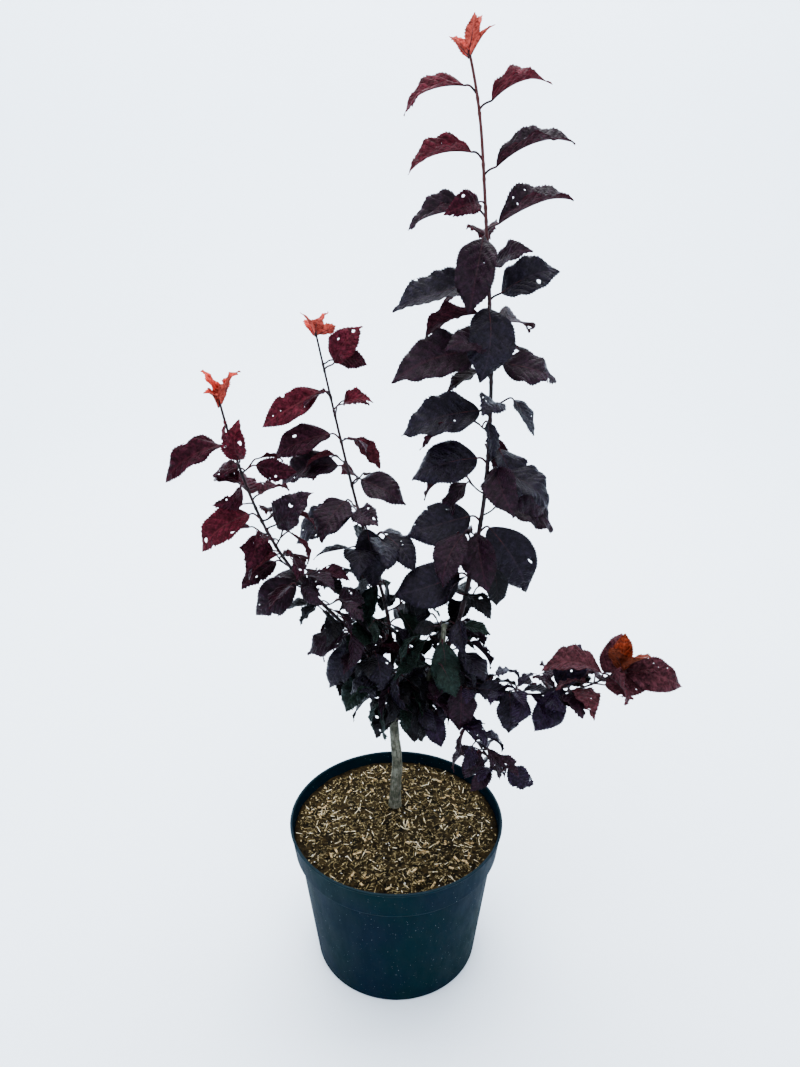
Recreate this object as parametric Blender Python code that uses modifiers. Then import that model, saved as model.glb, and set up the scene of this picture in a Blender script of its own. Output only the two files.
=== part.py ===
"""Potted purple-leaved cherry plum: a young tree in a ten-litre nursery pot.

The pot stands on its flat underside at z = 0, its axis is the Z axis, and +X is to the right
and -Y towards the viewer. Lengths are written in millimetres and turned into metres where the
meshes are made.
"""
import math
import random
from typing import NamedTuple

import bmesh
import bpy
import numpy as np
from mathutils import Vector

OBJECT_NAME = "potted_cherry_plum"
MM = 0.001
GAP = 0.3                    # left between pieces that touch
SEED = 7

# Pot: a thin moulded wall with a stepped collar under the rim
RIM_RADIUS = 140.0
POT_HEIGHT = 208.0
LIP_DROP = 3.5               # height and thickness of the rim's rounded lip
LIP_ROUND = 0.35             # share of the lip that its rounding takes
LIP_UNDERCUT = 1.2           # how far the collar stands in under the lip
COLLAR_FOOT = 171.0          # the collar tapers down to here
COLLAR_FOOT_RADIUS = 134.5
STEP_FOOT = 162.0            # the step in below the collar ends here
STEP_RADIUS = 128.0
STEP_SHOULDER = 1.5          # the step rounds out this far
STEP_SHOULDER_RISE = 4.0     # and this high above its foot
BASE_RADIUS = 109.0
BASE_EDGE = 3.0              # rounding between wall and underside
WALL = 2.2
FLOOR = 2.5
POT_STEPS = 48
DRAIN_HOLES = 6
DRAIN_RADIUS = 6.0
DRAIN_CIRCLE = 85.0

# Compost: fills the pot to 14 mm below the rim
COMPOST_TOP = 194.0
COMPOST_EDGE_TOP = 192.5     # it slopes down a little to the wall
COMPOST_FLAT = 88.0          # level out to this radius, so the trunk has a flat foot

TUBE_POINTS = 14             # points along each limb
STRAIGHT_FOOT = 3.0          # each limb has a point this far up, so its foot stands square
FLARE = 1.3                  # extra radius at the trunk's foot
FLARE_HEIGHT = 9.0

MASS_SIDES = 8
MASS_RINGS = 8
MASS_THICKNESS = 5.0
MASS_THINNING = 1.4          # it thins towards its ends where its outline is under 1 / 1.4 of full
UNEVENNESS = 0.12
STALK = 12.0                 # a mass starts this far out from its limb
STALK_RISE = 8.0             # and this far above the place where it leaves
HEADING_SWING = 7.0          # degrees to either side of its limb's usual heading
REACH_SWING = 0.06           # share of its usual reach
LEAF_WAIST = 0.85            # below 1 a mass is broadest in the half next to its limb
LEAF_FULLNESS = 0.8          # below 1 its outline is fuller than a sine curve


class Limb(NamedTuple):
    """One tapering limb, grown from its foot a millimetre at a time.

    The leans are degrees from upright at equal steps from foot to tip, each towards the heading
    there. A heading is a compass turn seen from above: 0 to the right, 90 away from the viewer
    and 180 to the left. The foot is set aside from the middle of the limb that carries it.
    """
    name: str
    carrier: str
    along: int               # how far up its carrier it starts
    aside: tuple             # heading and distance of its foot from the carrier's middle
    length: int
    headings: tuple
    leans: tuple
    foot_radius: float
    tip_radius: float


class Side(NamedTuple):
    """How foliage grows to one side of a limb, at equal steps from the limb's tip to its foot."""
    heading: float
    reach: tuple             # how far out from the limb a mass ends
    rise: tuple              # how far above its place on the limb it ends


class Foliage(NamedTuple):
    """How masses clothe one limb from its tip down. Sizes are at equal steps from tip to foot."""
    group: str
    limb: str
    tuft: bool               # a small upright mass of young leaves on the tip
    below_tip: int           # from the tip to the first mass under it
    order: str               # the sides in turn: Left, Right, Front, Back
    node_step: float         # down to the next mass of one cluster
    cluster_step: tuple      # down to the next cluster
    sides: dict
    width: tuple
    face: tuple              # 0 lies level, 90 faces the viewer
    fold: tuple              # how far the two halves fold up about the midrib
    arch: tuple              # how far its middle bows up


TRUNK_FOOT = (-2.0, 38.0, 194.3)
LIMBS = (
    Limb("trunk", "", 0, (0, 0), 155, (0,), (1, 4, 2, -6, -4, 0), 7.6, 5.9),
    Limb("old_limb", "trunk", 155, (5, 3.4), 154, (0, -45), (0, 55, 68, 24, 18, 19, 17, 8, 2),
         3.9, 3.3),
    Limb("leader_stem", "old_limb", 97, (28, 7.3), 688, (15,), (29, 11, 9, 2, -1, -5, -5, -6, -17),
         3.1, 1.45),
    Limb("centre_left_stem", "trunk", 155, (128, 4.6), 488, (20, 110, 150, 150, 148, 146, 144),
         (0, 10, 19, 17, 15, 15, 15), 2.6, 1.2),
    Limb("far_left_stem", "trunk", 155, (217, 4.4), 476, (206,), (0, 24, 40, 37, 30, 20, 14, 10),
         2.6, 1.25),
    Limb("low_right_stem", "trunk", 149, (-23, 8.1), 305, (-11,), (40, 56, 88, 94, 80, 60, 50),
         2.0, 1.0),
    Limb("drooping_twig", "trunk", 140, (-39, 8.0), 172, (-12, -48), (52, 74, 116, 130, 132),
         1.2, 0.85),
)

FOLIAGE = (
    Foliage("leader", "leader_stem", True, 40, "LRLRLRFLRFLRLLRLRL", 14, (54, 40, 44, 56, 60),
            {"L": Side(187, (74, 80, 118, 95, 90), (-12, -8, -24, -16, -16)),
             "R": Side(352, (68, 92, 66, 84, 62), (24, 38, 34, -36, -90)),
             "F": Side(248, (42,), (-66,))},
            (38, 46, 54, 54, 60), (20, 22, 50, 55, 62), (35, 55, 15, 14, 10), (8, 8, 8, 10, 3)),
    Foliage("centre_left", "centre_left_stem", True, 45, "RLRLLRLFB", 16, (30, 50),
            {"L": Side(186, (90, 82, 84), (-38, -14, -50)),
             "R": Side(349, (42, 60, 92), (52, -24, 4)),
             "F": Side(285, (36,), (-62,)),
             "B": Side(100, (58,), (-18,))},
            (36, 46, 50), (50, 42, 60), (22, 30, 12), (6, 12, 5)),
    Foliage("far_left", "far_left_stem", True, 58, "LFLRLFLF", 14, (50, 120),
            {"L": Side(193, (71, 60, 52), (-30, -26, -60)),
             "R": Side(352, (55,), (49,)),
             "F": Side(295, (14, 26, 36), (54, 44, -34))},
            (36, 47, 38), (35, 55, 62), (30, 15, 12), (12, 6, 4)),
    Foliage("heart", "old_limb", False, 8, "LFLBF", 18, (34,),
            {"L": Side(196, (48,), (4,)),
             "F": Side(268, (36,), (-70,)),
             "B": Side(75, (58,), (-22,))},
            (34, 46), (60,), (14,), (3,)),
    Foliage("low_right", "low_right_stem", False, 12, "RBLBFF", 24, (20, 60),
            {"R": Side(356, (86,), (-14,)),
             "B": Side(40, (44, 56), (52, 56)),
             "L": Side(200, (54,), (-50,)),
             "F": Side(262, (18, 34), (-26, -48))},
            (42, 40), (55, 68), (15,), (6, 3)),
    Foliage("drooping", "drooping_twig", False, 6, "RL", 26, (26,),
            {"L": Side(206, (38,), (-50,)),
             "R": Side(350, (60,), (-26,))},
            (50, 40), (72, 62), (4,), (1,)),
)
# The tuft of young leaves on a tip
TUFT_HEADING = 180.0
TUFT_START = 2.0             # out from the tip, and as far above it
TUFT_REACH = 9.0
TUFT_RISE = 34.0
TUFT_WIDTH = 44.0
TUFT_FACE = 78.0

# Colours: base colour, roughness
POT_PLASTIC = ((0.012, 0.030, 0.042), 0.45)
COMPOST_BROWN = ((0.085, 0.050, 0.024), 0.95)
BARK_GREY = ((0.16, 0.14, 0.11), 0.85)
BARK_PURPLE = ((0.030, 0.017, 0.018), 0.6)
CORAL = ((0.52, 0.10, 0.07), 0.5)
CRIMSON = ((0.11, 0.013, 0.020), 0.5)
PLUM = ((0.028, 0.012, 0.018), 0.5)


def make_material(name, finish):
    """A plain surface of one colour and roughness."""
    colour, roughness = finish
    material = bpy.data.materials.new(name)
    material.use_nodes = True
    shader = material.node_tree.nodes["Principled BSDF"]
    shader.inputs["Base Color"].default_value = (*colour, 1.0)
    shader.inputs["Roughness"].default_value = roughness
    shader.inputs["Metallic"].default_value = 0.0
    material.diffuse_color = (*colour, 1.0)
    return material


def add_object(name, data, finish, collection):
    """An object with its own material, in the given collection."""
    item = bpy.data.objects.new(name, data)
    if finish:
        data.materials.append(make_material(name + "_finish", finish))
    collection.objects.link(item)
    return item


def turned(name, profile, finish, collection):
    """A solid turned about Z from a profile that runs down its outer side."""
    mesh = bpy.data.meshes.new(name)
    points = [(radius * MM, 0.0, height * MM) for radius, height in profile]
    mesh.from_pydata(points, [(i, i + 1) for i in range(len(points) - 1)], [])
    item = add_object(name, mesh, finish, collection)
    screw = item.modifiers.new("turn", "SCREW")
    screw.steps = POT_STEPS
    screw.render_steps = POT_STEPS
    screw.use_merge_vertices = True
    screw.merge_threshold = 0.00001
    screw.use_smooth_shade = True
    return item


def wall_radius(height):
    """The pot's outer radius below its collar."""
    return BASE_RADIUS + (STEP_RADIUS - BASE_RADIUS) * height / STEP_FOOT


def make_pot(collection, cutters):
    """The pot: plain tapered wall, step, collar and rounded lip, with drain holes in its floor."""
    lip = LIP_DROP
    rounding = LIP_ROUND * lip
    corner = LIP_ROUND * BASE_EDGE
    inner = ((0.0, FLOOR), (wall_radius(FLOOR) - WALL, FLOOR), (STEP_RADIUS - WALL, STEP_FOOT),
             (COLLAR_FOOT_RADIUS - WALL, COLLAR_FOOT), (RIM_RADIUS - lip, POT_HEIGHT - lip),
             (RIM_RADIUS - lip, POT_HEIGHT - rounding))
    rim = ((RIM_RADIUS - lip + rounding, POT_HEIGHT), (RIM_RADIUS - rounding, POT_HEIGHT),
           (RIM_RADIUS, POT_HEIGHT - rounding), (RIM_RADIUS, POT_HEIGHT - lip))
    outer = ((RIM_RADIUS - LIP_UNDERCUT, POT_HEIGHT - lip - LIP_UNDERCUT),
             (COLLAR_FOOT_RADIUS, COLLAR_FOOT),
             (STEP_RADIUS + STEP_SHOULDER, STEP_FOOT + STEP_SHOULDER_RISE), (STEP_RADIUS, STEP_FOOT),
             (BASE_RADIUS, BASE_EDGE), (BASE_RADIUS - corner, corner),
             (BASE_RADIUS - BASE_EDGE, 0.0), (0.0, 0.0))
    pot = turned("pot", inner + rim + outer, POT_PLASTIC, collection)
    for index in range(DRAIN_HOLES):
        turn = math.tau * index / DRAIN_HOLES
        place = (DRAIN_CIRCLE * MM * math.cos(turn), DRAIN_CIRCLE * MM * math.sin(turn), FLOOR * MM / 2)
        bpy.ops.mesh.primitive_cylinder_add(vertices=16, radius=DRAIN_RADIUS * MM,
                                            depth=4 * FLOOR * MM, location=place)
        cutter = bpy.context.object
        cutter.name = f"drain_cutter_{index + 1}"
        for home in cutter.users_collection:
            home.objects.unlink(cutter)
        cutters.objects.link(cutter)
        cutter.hide_render = True
        cutter.display_type = "WIRE"
        cut = pot.modifiers.new("drain hole", "BOOLEAN")
        cut.operation = "DIFFERENCE"
        cut.object = cutter


def make_compost(collection):
    """The compost: it follows the inside of the wall and is level round the trunk."""
    floor_top = FLOOR + GAP
    inset = WALL + GAP
    edge_share = (COMPOST_EDGE_TOP - COLLAR_FOOT) / (POT_HEIGHT - LIP_DROP - COLLAR_FOOT)
    inner_foot = COLLAR_FOOT_RADIUS - WALL
    edge = inner_foot + edge_share * (RIM_RADIUS - LIP_DROP - inner_foot) - GAP
    profile = ((0.0, COMPOST_TOP), (COMPOST_FLAT, COMPOST_TOP), (edge, COMPOST_EDGE_TOP),
               (inner_foot - GAP, COLLAR_FOOT), (STEP_RADIUS - inset, STEP_FOOT),
               (wall_radius(floor_top) - inset, floor_top), (0.0, floor_top))
    return turned("compost", profile, COMPOST_BROWN, collection)


def profile_at(sizes, share):
    """A size read from sizes given at equal steps, this share of the way along."""
    return float(np.interp(share, np.linspace(0.0, 1.0, len(sizes)), sizes))


def compass(heading):
    """The level direction of a compass turn in degrees."""
    turn = math.radians(heading)
    return Vector((math.cos(turn), math.sin(turn), 0.0))


def grow_route(limb, routes):
    """A point for each millimetre of a limb, each step turned to its lean and heading there."""
    if limb.carrier:
        heading, distance = limb.aside
        point = routes[limb.carrier][limb.along] + compass(heading) * distance
        if limb.along == len(routes[limb.carrier]) - 1:
            point.z += GAP
    else:
        point = Vector(TRUNK_FOOT)
    route = [point]
    for step in range(limb.length):
        share = step / limb.length
        lean = math.radians(profile_at(limb.leans, share))
        level = compass(profile_at(limb.headings, share))
        point = point + level * math.sin(lean) + Vector((0.0, 0.0, math.cos(lean)))
        route.append(point)
    return route


def make_limb(limb, route, finish, collection):
    """A tapering round limb with flat ends."""
    places = list(np.linspace(0, limb.length, TUBE_POINTS))
    places.insert(1, FLARE_HEIGHT if limb.name == "trunk" else STRAIGHT_FOOT)
    curve = bpy.data.curves.new(limb.name, "CURVE")
    curve.dimensions = "3D"
    curve.bevel_depth = MM
    curve.bevel_resolution = 2
    curve.use_fill_caps = True
    spline = curve.splines.new("POLY")
    spline.points.add(len(places) - 1)
    for point, place in zip(spline.points, places):
        point.co = (*(route[round(place)] * MM), 1.0)
        radius = limb.foot_radius + (limb.tip_radius - limb.foot_radius) * place / limb.length
        if limb.name == "trunk":
            radius += FLARE * max(0.0, 1.0 - place / FLARE_HEIGHT)
        point.radius = radius
    add_object(limb.name, curve, finish, collection)


def make_mass(name, start, tip, shape, finish, collection, dice):
    """A thin uneven pad from start to tip, folded and arched like its leaves."""
    width, face, fold, arch = shape
    along = (tip - start).normalized()
    face = math.radians(face)
    fold = math.radians(fold)
    up = Vector((0.0, -math.sin(face), math.cos(face)))
    up = (up - along * up.dot(along)).normalized()
    across = up.cross(along)
    ball = bmesh.new()
    bmesh.ops.create_uvsphere(ball, u_segments=MASS_SIDES, v_segments=MASS_RINGS, radius=1.0)
    for vertex in ball.verts:
        share = 0.5 + 0.5 * vertex.co.z
        ring = math.hypot(vertex.co.x, vertex.co.y)
        middle = start.lerp(tip, share) + up * (arch * 4 * share * (1 - share))
        at_pole = ring < GAP * MM
        if at_pole:
            vertex.co = middle * MM
            continue
        outline = math.sin(math.pi * share ** LEAF_WAIST) ** LEAF_FULLNESS
        half = 0.5 * width * outline
        half_thickness = 0.5 * MASS_THICKNESS * min(1.0, MASS_THINNING * outline)
        lift = 0.5 * half * math.sin(fold)
        wide = half * math.cos(fold) + half_thickness
        uneven = 1.0 + UNEVENNESS * dice.uniform(-1.0, 1.0)
        sideways = across * (vertex.co.x / ring * wide * uneven)
        upright = up * (lift + vertex.co.y / ring * (lift + half_thickness))
        vertex.co = (middle + sideways + upright) * MM
    mesh = bpy.data.meshes.new(name)
    ball.to_mesh(mesh)
    ball.free()
    mesh.shade_smooth()
    add_object(name, mesh, finish, collection)


def mass_places(foliage, length):
    """The place along the limb and the side of each mass, from the tip down."""
    place = length - foliage.below_tip
    before = ""
    for index, side in enumerate(foliage.order):
        share = index / (len(foliage.order) - 1)
        if before:
            same_cluster = "LRFB".index(side) > "LRFB".index(before)
            place -= foliage.node_step if same_cluster else profile_at(foliage.cluster_step, share)
        before = side
        yield place, side, share


def make_foliage(foliage, route, collection, dice):
    """The masses of one limb: a tuft on its tip, and clusters down to its foot."""
    count = 0
    if foliage.tuft:
        count = 1
        start = route[-1] + compass(TUFT_HEADING) * TUFT_START + Vector((0.0, 0.0, TUFT_START))
        tip = route[-1] + compass(TUFT_HEADING) * TUFT_REACH + Vector((0.0, 0.0, TUFT_RISE))
        make_mass(f"{foliage.group}_foliage_{count:02d}", start, tip, (TUFT_WIDTH, TUFT_FACE, 0.0, 0.0),
                  CORAL, collection, dice)
    for place, side_name, share in mass_places(foliage, len(route) - 1):
        count += 1
        side = foliage.sides[side_name]
        out = compass(side.heading + dice.uniform(-HEADING_SWING, HEADING_SWING))
        reach = profile_at(side.reach, share) * (1.0 + dice.uniform(-REACH_SWING, REACH_SWING))
        limb_point = route[round(place)]
        start = limb_point + out * STALK + Vector((0.0, 0.0, STALK_RISE))
        tip = limb_point + out * reach + Vector((0.0, 0.0, profile_at(side.rise, share)))
        shape = [profile_at(sizes, share)
                 for sizes in (foliage.width, foliage.face, foliage.fold, foliage.arch)]
        make_mass(f"{foliage.group}_foliage_{count:02d}", start, tip, shape,
                  mass_finish(foliage.group, count), collection, dice)


def mass_finish(group, number):
    """The first masses below a tuft are crimson, and so is the end of the low branch."""
    if group in ("leader", "centre_left", "far_left"):
        return CRIMSON if number <= 4 else PLUM
    if group == "low_right" and number <= 2:
        return CRIMSON
    return PLUM


def main():
    for item in list(bpy.data.objects):
        bpy.data.objects.remove(item, do_unlink=True)
    dice = random.Random(SEED)
    collection = bpy.data.collections.new(OBJECT_NAME)
    cutters = bpy.data.collections.new("cutters")
    bpy.context.scene.collection.children.link(collection)
    bpy.context.scene.collection.children.link(cutters)
    make_pot(collection, cutters)
    make_compost(collection)
    routes = {}
    for limb in LIMBS:
        routes[limb.name] = grow_route(limb, routes)
        finish = BARK_GREY if limb.name in ("trunk", "old_limb") else BARK_PURPLE
        make_limb(limb, routes[limb.name], finish, collection)
    for foliage in FOLIAGE:
        make_foliage(foliage, routes[foliage.limb], collection, dice)


main()
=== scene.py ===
# %% [markdown]
# # A potted purple cherry plum
# This is a young tree with dark plum leaves, bought in a round nursery pot full of compost. It could
# be scanned, or sculpted leaf by leaf, but a plant follows rules: stems taper and turn a little as
# they grow, leaves sit on stalks in small clusters, and every leaf has the same outline with its own
# size, fold and damage. So each stem is grown from a few sizes, each mass of foliage in the frame gives
# the place of a spray, and a seeded rule grows the leaves. Lengths below are in millimetres until a
# mesh is made.

import math
import random
from typing import NamedTuple

import bmesh
import bpy
import numpy as np
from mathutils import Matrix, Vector, noise
from mathutils.geometry import delaunay_2d_cdt


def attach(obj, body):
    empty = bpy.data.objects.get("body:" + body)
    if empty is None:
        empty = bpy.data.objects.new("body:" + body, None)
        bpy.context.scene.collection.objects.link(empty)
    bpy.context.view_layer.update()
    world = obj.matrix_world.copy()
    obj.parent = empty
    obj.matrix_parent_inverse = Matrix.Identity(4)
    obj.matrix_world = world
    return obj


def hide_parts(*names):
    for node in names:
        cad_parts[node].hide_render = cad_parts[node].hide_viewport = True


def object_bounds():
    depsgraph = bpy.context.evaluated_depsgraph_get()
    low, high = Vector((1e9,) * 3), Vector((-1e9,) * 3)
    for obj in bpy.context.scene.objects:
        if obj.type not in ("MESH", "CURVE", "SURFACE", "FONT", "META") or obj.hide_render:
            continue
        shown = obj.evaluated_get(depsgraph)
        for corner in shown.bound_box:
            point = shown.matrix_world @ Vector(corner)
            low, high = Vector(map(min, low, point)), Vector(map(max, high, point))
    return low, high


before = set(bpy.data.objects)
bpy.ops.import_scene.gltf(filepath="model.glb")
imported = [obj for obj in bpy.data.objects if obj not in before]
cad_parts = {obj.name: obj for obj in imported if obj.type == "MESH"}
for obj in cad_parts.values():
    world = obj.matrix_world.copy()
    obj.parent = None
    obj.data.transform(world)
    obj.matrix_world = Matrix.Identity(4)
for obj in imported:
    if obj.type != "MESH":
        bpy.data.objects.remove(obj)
cad_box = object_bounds()
MM = 0.001
print("CAD box", [[round(value, 3) for value in corner] for corner in cad_box])

# %% [markdown]
# ## Camera and studio
# The camera stands where the photographer stood, just under a metre up and looking down at the pot.
# A flat floor and a backdrop would meet in a line, so the pale floor sweeps up into a wall instead, all
# the way round, and no view shows a horizon. One large soft light stands above the plant and one in
# front, as on an overcast day, and a third brightens the wall and the floor behind, so that the dark
# leaves stand out against it. A phone camera hardens the contrast of what it takes, and the look set
# at the end does the same.

# %% Camera
CAMERA_PLACE = (0.005, -0.909, 0.971)
LOOK_DOWN = math.radians(21.7)
FOCAL_PIXELS = 850.0
IMAGE_HEIGHT = 1067
camera_data = bpy.data.cameras.new("camera")
camera_data.sensor_width = 36.0
camera_data.lens = FOCAL_PIXELS / IMAGE_HEIGHT * camera_data.sensor_width
camera = bpy.data.objects.new("camera", camera_data)
camera.location = CAMERA_PLACE
camera.rotation_euler = (math.pi / 2 - LOOK_DOWN, 0.0, 0.0)
bpy.context.scene.collection.objects.link(camera)
bpy.context.scene.camera = camera
print("lens", round(camera_data.lens, 2), "mm")

# %% Floor and wall in one sweep
SWEEP_START = 3.0
SWEEP_RADIUS = 1.4
WALL_TOP = 3.6
SWEEP_STEPS = 16
STUDIO_TURNS = 96
PAPER = (0.87, 0.92, 0.98, 1.0)


def make_studio():
    """A round floor that curves up into a wall."""
    profile = [(0.0, 0.0), (SWEEP_START, 0.0)]
    for step in range(1, SWEEP_STEPS + 1):
        turn = math.pi / 2 * step / SWEEP_STEPS
        profile.append((SWEEP_START + SWEEP_RADIUS * math.sin(turn), SWEEP_RADIUS * (1 - math.cos(turn))))
    profile.append((SWEEP_START + SWEEP_RADIUS, WALL_TOP))
    shape = bmesh.new()
    line = [shape.verts.new((radius, 0.0, height)) for radius, height in profile]
    edges = [shape.edges.new(pair) for pair in zip(line, line[1:])]
    bmesh.ops.spin(shape, geom=line + edges, cent=(0, 0, 0), axis=(0, 0, 1), angle=math.tau,
                   steps=STUDIO_TURNS, use_merge=True)
    bmesh.ops.remove_doubles(shape, verts=shape.verts, dist=1e-5)
    for face in shape.faces:
        if face.normal.dot(Vector((0, 0, 2)) - face.calc_center_median()) < 0:
            face.normal_flip()
    mesh = bpy.data.meshes.new("studio_sweep")
    shape.to_mesh(mesh)
    shape.free()
    mesh.shade_smooth()
    sweep = bpy.data.objects.new("studio_sweep", mesh)
    bpy.context.scene.collection.objects.link(sweep)
    material = bpy.data.materials.new("studio_paper")
    material.use_nodes = True
    shader = material.node_tree.nodes["Principled BSDF"]
    shader.inputs["Base Color"].default_value = PAPER
    shader.inputs["Roughness"].default_value = 0.9
    mesh.materials.append(material)
    print("studio", len(mesh.polygons), "faces")


def add_light(name, place, target, size, power, colour):
    """A large soft square light aimed at a point."""
    data = bpy.data.lights.new(name, "AREA")
    data.shape = "SQUARE"
    data.size = size
    data.energy = power
    data.color = colour
    light = bpy.data.objects.new(name, data)
    light.location = place
    light.rotation_euler = (Vector(target) - Vector(place)).to_track_quat("-Z", "Y").to_euler()
    bpy.context.scene.collection.objects.link(light)


make_studio()
add_light("sky_light", (-0.6, -1.0, 3.0), (0.0, 0.0, 0.5), 2.2, 66.0, (0.95, 0.98, 1.0))
add_light("front_fill", (1.6, -2.6, 1.6), (0.0, 0.0, 0.5), 1.6, 22.0, (1.0, 0.98, 0.95))
add_light("wall_light", (0.0, 1.7, 3.4), (0.0, 3.0, 0.0), 3.4, 270.0, (0.93, 0.97, 1.0))
world = bpy.data.worlds.new("overcast")
world.use_nodes = True
world.node_tree.nodes["Background"].inputs["Color"].default_value = (0.86, 0.92, 1.0, 1.0)
world.node_tree.nodes["Background"].inputs["Strength"].default_value = 0.75
bpy.context.scene.world = world
bpy.context.scene.view_settings.look = "AgX - Medium High Contrast"

# %% [markdown]
# ## Helpers
# Every piece ends as one plain mesh with its object at the origin. These helpers make the mesh from
# arrays, give it its materials and UV map, and attach it to the plant, hiding the frame's parts that it
# stands for.

# %% Mesh and material helpers
def new_piece(name, points, faces, materials, material_of=None, uvs=None):
    """A mesh object from points in millimetres, with a UV for each point."""
    mesh = bpy.data.meshes.new(name)
    mesh.from_pydata((np.asarray(points, float) * MM).tolist(), [], [tuple(face) for face in faces])
    for material in materials:
        mesh.materials.append(material)
    if material_of is not None:
        mesh.polygons.foreach_set("material_index", np.asarray(material_of, np.int32))
    if uvs is not None:
        layer = mesh.uv_layers.new(name="surface_uv")
        corner_points = np.empty(len(mesh.loops), np.int32)
        mesh.loops.foreach_get("vertex_index", corner_points)
        layer.data.foreach_set("uv", np.asarray(uvs, np.float32)[corner_points].ravel())
    mesh.shade_smooth()
    mesh.validate()
    mesh.update()
    piece = bpy.data.objects.new(name, mesh)
    bpy.context.scene.collection.objects.link(piece)
    return piece


def register(piece, slot, *nodes):
    """The piece belongs to the plant and stands for these CAD nodes; slot is not used."""
    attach(piece, "root")
    if nodes:
        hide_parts(*nodes)
    print(piece.name, len(piece.data.polygons), "faces")


class Finish:
    """A small builder for a node-based material."""

    def __init__(self, name):
        self.material = bpy.data.materials.new(name)
        self.material.use_nodes = True
        self.tree = self.material.node_tree
        self.shader = self.tree.nodes["Principled BSDF"]

    def add(self, kind, **values):
        node = self.tree.nodes.new(kind)
        for key, value in values.items():
            setattr(node, key, value)
        return node

    def link(self, source, target):
        self.tree.links.new(source, target)

    def coordinates(self):
        return self.add("ShaderNodeTexCoord").outputs["Object"]

    def split(self, vector):
        node = self.add("ShaderNodeSeparateXYZ")
        self.link(vector, node.inputs["Vector"])
        return node.outputs

    def mapping(self, source, scale):
        node = self.add("ShaderNodeMapping")
        node.inputs["Scale"].default_value = scale
        self.link(source, node.inputs["Vector"])
        return node.outputs["Vector"]

    def noise(self, vector, scale, detail=3.0, roughness=0.55):
        node = self.add("ShaderNodeTexNoise")
        node.inputs["Scale"].default_value = scale
        node.inputs["Detail"].default_value = detail
        node.inputs["Roughness"].default_value = roughness
        self.link(vector, node.inputs["Vector"])
        return node.outputs["Fac"]

    def math(self, operation, one, other=None):
        node = self.add("ShaderNodeMath", operation=operation)
        for index, value in enumerate((one, other)):
            if value is None:
                continue
            if isinstance(value, (int, float)):
                node.inputs[index].default_value = value
            else:
                self.link(value, node.inputs[index])
        return node.outputs[0]

    def spread(self, source, low, high, to_low=0.0, to_high=1.0):
        node = self.add("ShaderNodeMapRange", interpolation_type="SMOOTHSTEP")
        node.inputs["From Min"].default_value = low
        node.inputs["From Max"].default_value = high
        node.inputs["To Min"].default_value = to_low
        node.inputs["To Max"].default_value = to_high
        self.link(source, node.inputs["Value"])
        return node.outputs["Result"]

    def mix(self, share, one, other):
        node = self.add("ShaderNodeMix", data_type="RGBA")
        for value, socket in ((share, node.inputs[0]), (one, node.inputs[6]), (other, node.inputs[7])):
            if isinstance(value, (int, float)):
                socket.default_value = value
            elif isinstance(value, tuple):
                socket.default_value = (*value, 1.0)
            else:
                self.link(value, socket)
        return node.outputs[2]

    def bump(self, height, strength, distance):
        node = self.add("ShaderNodeBump")
        node.inputs["Strength"].default_value = strength
        node.inputs["Distance"].default_value = distance
        self.link(height, node.inputs["Height"])
        self.link(node.outputs["Normal"], self.shader.inputs["Normal"])

    def set(self, **values):
        for key, value in values.items():
            socket = self.shader.inputs[key.replace("_", " ")]
            if isinstance(value, (int, float)):
                socket.default_value = value
            elif isinstance(value, tuple):
                socket.default_value = (*value, 1.0)
            else:
                self.link(value, socket)


# %% [markdown]
# ## Pot
# A nursery pot is moulded in one piece: a thin tapered wall, a step, a collar and a rounded lip. It
# could be modelled from a cylinder by extruding rings, but a turned profile says the same in a dozen
# points and stays round at any angle. The dark blue-green plastic has a satin gloss, faint dust and
# a few scuffs and dried splashes.

# %% Pot material
POT_BLUE = (0.0009, 0.0085, 0.0185)
POT_TEAL = (0.0010, 0.0120, 0.0165)
POT_DUST = (0.045, 0.060, 0.068)
POT_SPECK = (0.24, 0.25, 0.25)
POT_LIP_HIGHLIGHT = (0.022, 0.034, 0.042)
LIP_PAINTED_HIGHLIGHT = (0.2055, 0.2080)    # in metres: between these heights the lip is painted paler, a painted highlight on its satin curve


def make_pot_finish():
    finish = Finish("pot_plastic")
    place = finish.coordinates()
    cloud = finish.noise(place, 9.0, 4.0)
    dust = finish.noise(finish.mapping(place, (1.0, 1.0, 0.4)), 60.0, 6.0, 0.7)
    scuffs = finish.noise(finish.mapping(place, (1.0, 1.0, 0.06)), 260.0, 3.0)
    specks = finish.noise(place, 520.0, 1.0)
    colour = finish.mix(finish.spread(cloud, 0.35, 0.65), POT_BLUE, POT_TEAL)
    colour = finish.mix(finish.spread(dust, 0.55, 0.85, 0.0, 0.10), colour, POT_DUST)
    colour = finish.mix(finish.spread(scuffs, 0.64, 0.78, 0.0, 0.12), colour, POT_DUST)
    colour = finish.mix(finish.spread(specks, 0.74, 0.80, 0.0, 0.7), colour, POT_SPECK)
    height = finish.split(place)["Z"]
    # Painted highlight: the rolled lip is paler between these heights
    colour = finish.mix(finish.spread(height, *LIP_PAINTED_HIGHLIGHT, 0.0, 0.6), colour, POT_LIP_HIGHLIGHT)
    finish.set(Base_Color=colour, Roughness=finish.spread(dust, 0.3, 0.8, 0.58, 0.74))
    finish.set(Specular_IOR_Level=0.05)
    fine = finish.noise(place, 420.0, 3.0)
    finish.bump(fine, 0.12, 0.0006)
    return finish.material


# %% Pot sizes
POT_TURNS = 160
RIM_RADIUS = 140.0
POT_HEIGHT = 208.0
LIP = 3.5                   # thickness of the rolled lip
LIP_UNDERCUT = 1.2          # how far the collar stands in under the lip
COLLAR_FOOT = 171.0
COLLAR_FOOT_RADIUS = 134.5
STEP_FOOT = 162.0           # the step in below the collar ends here
STEP_RADIUS = 128.0
BASE_RADIUS = 109.0
BASE_ROUND = 3.5
WALL = 2.2
FLOOR = 2.5


def wall_radius(height):
    return BASE_RADIUS + (STEP_RADIUS - BASE_RADIUS) * height / STEP_FOOT


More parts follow.
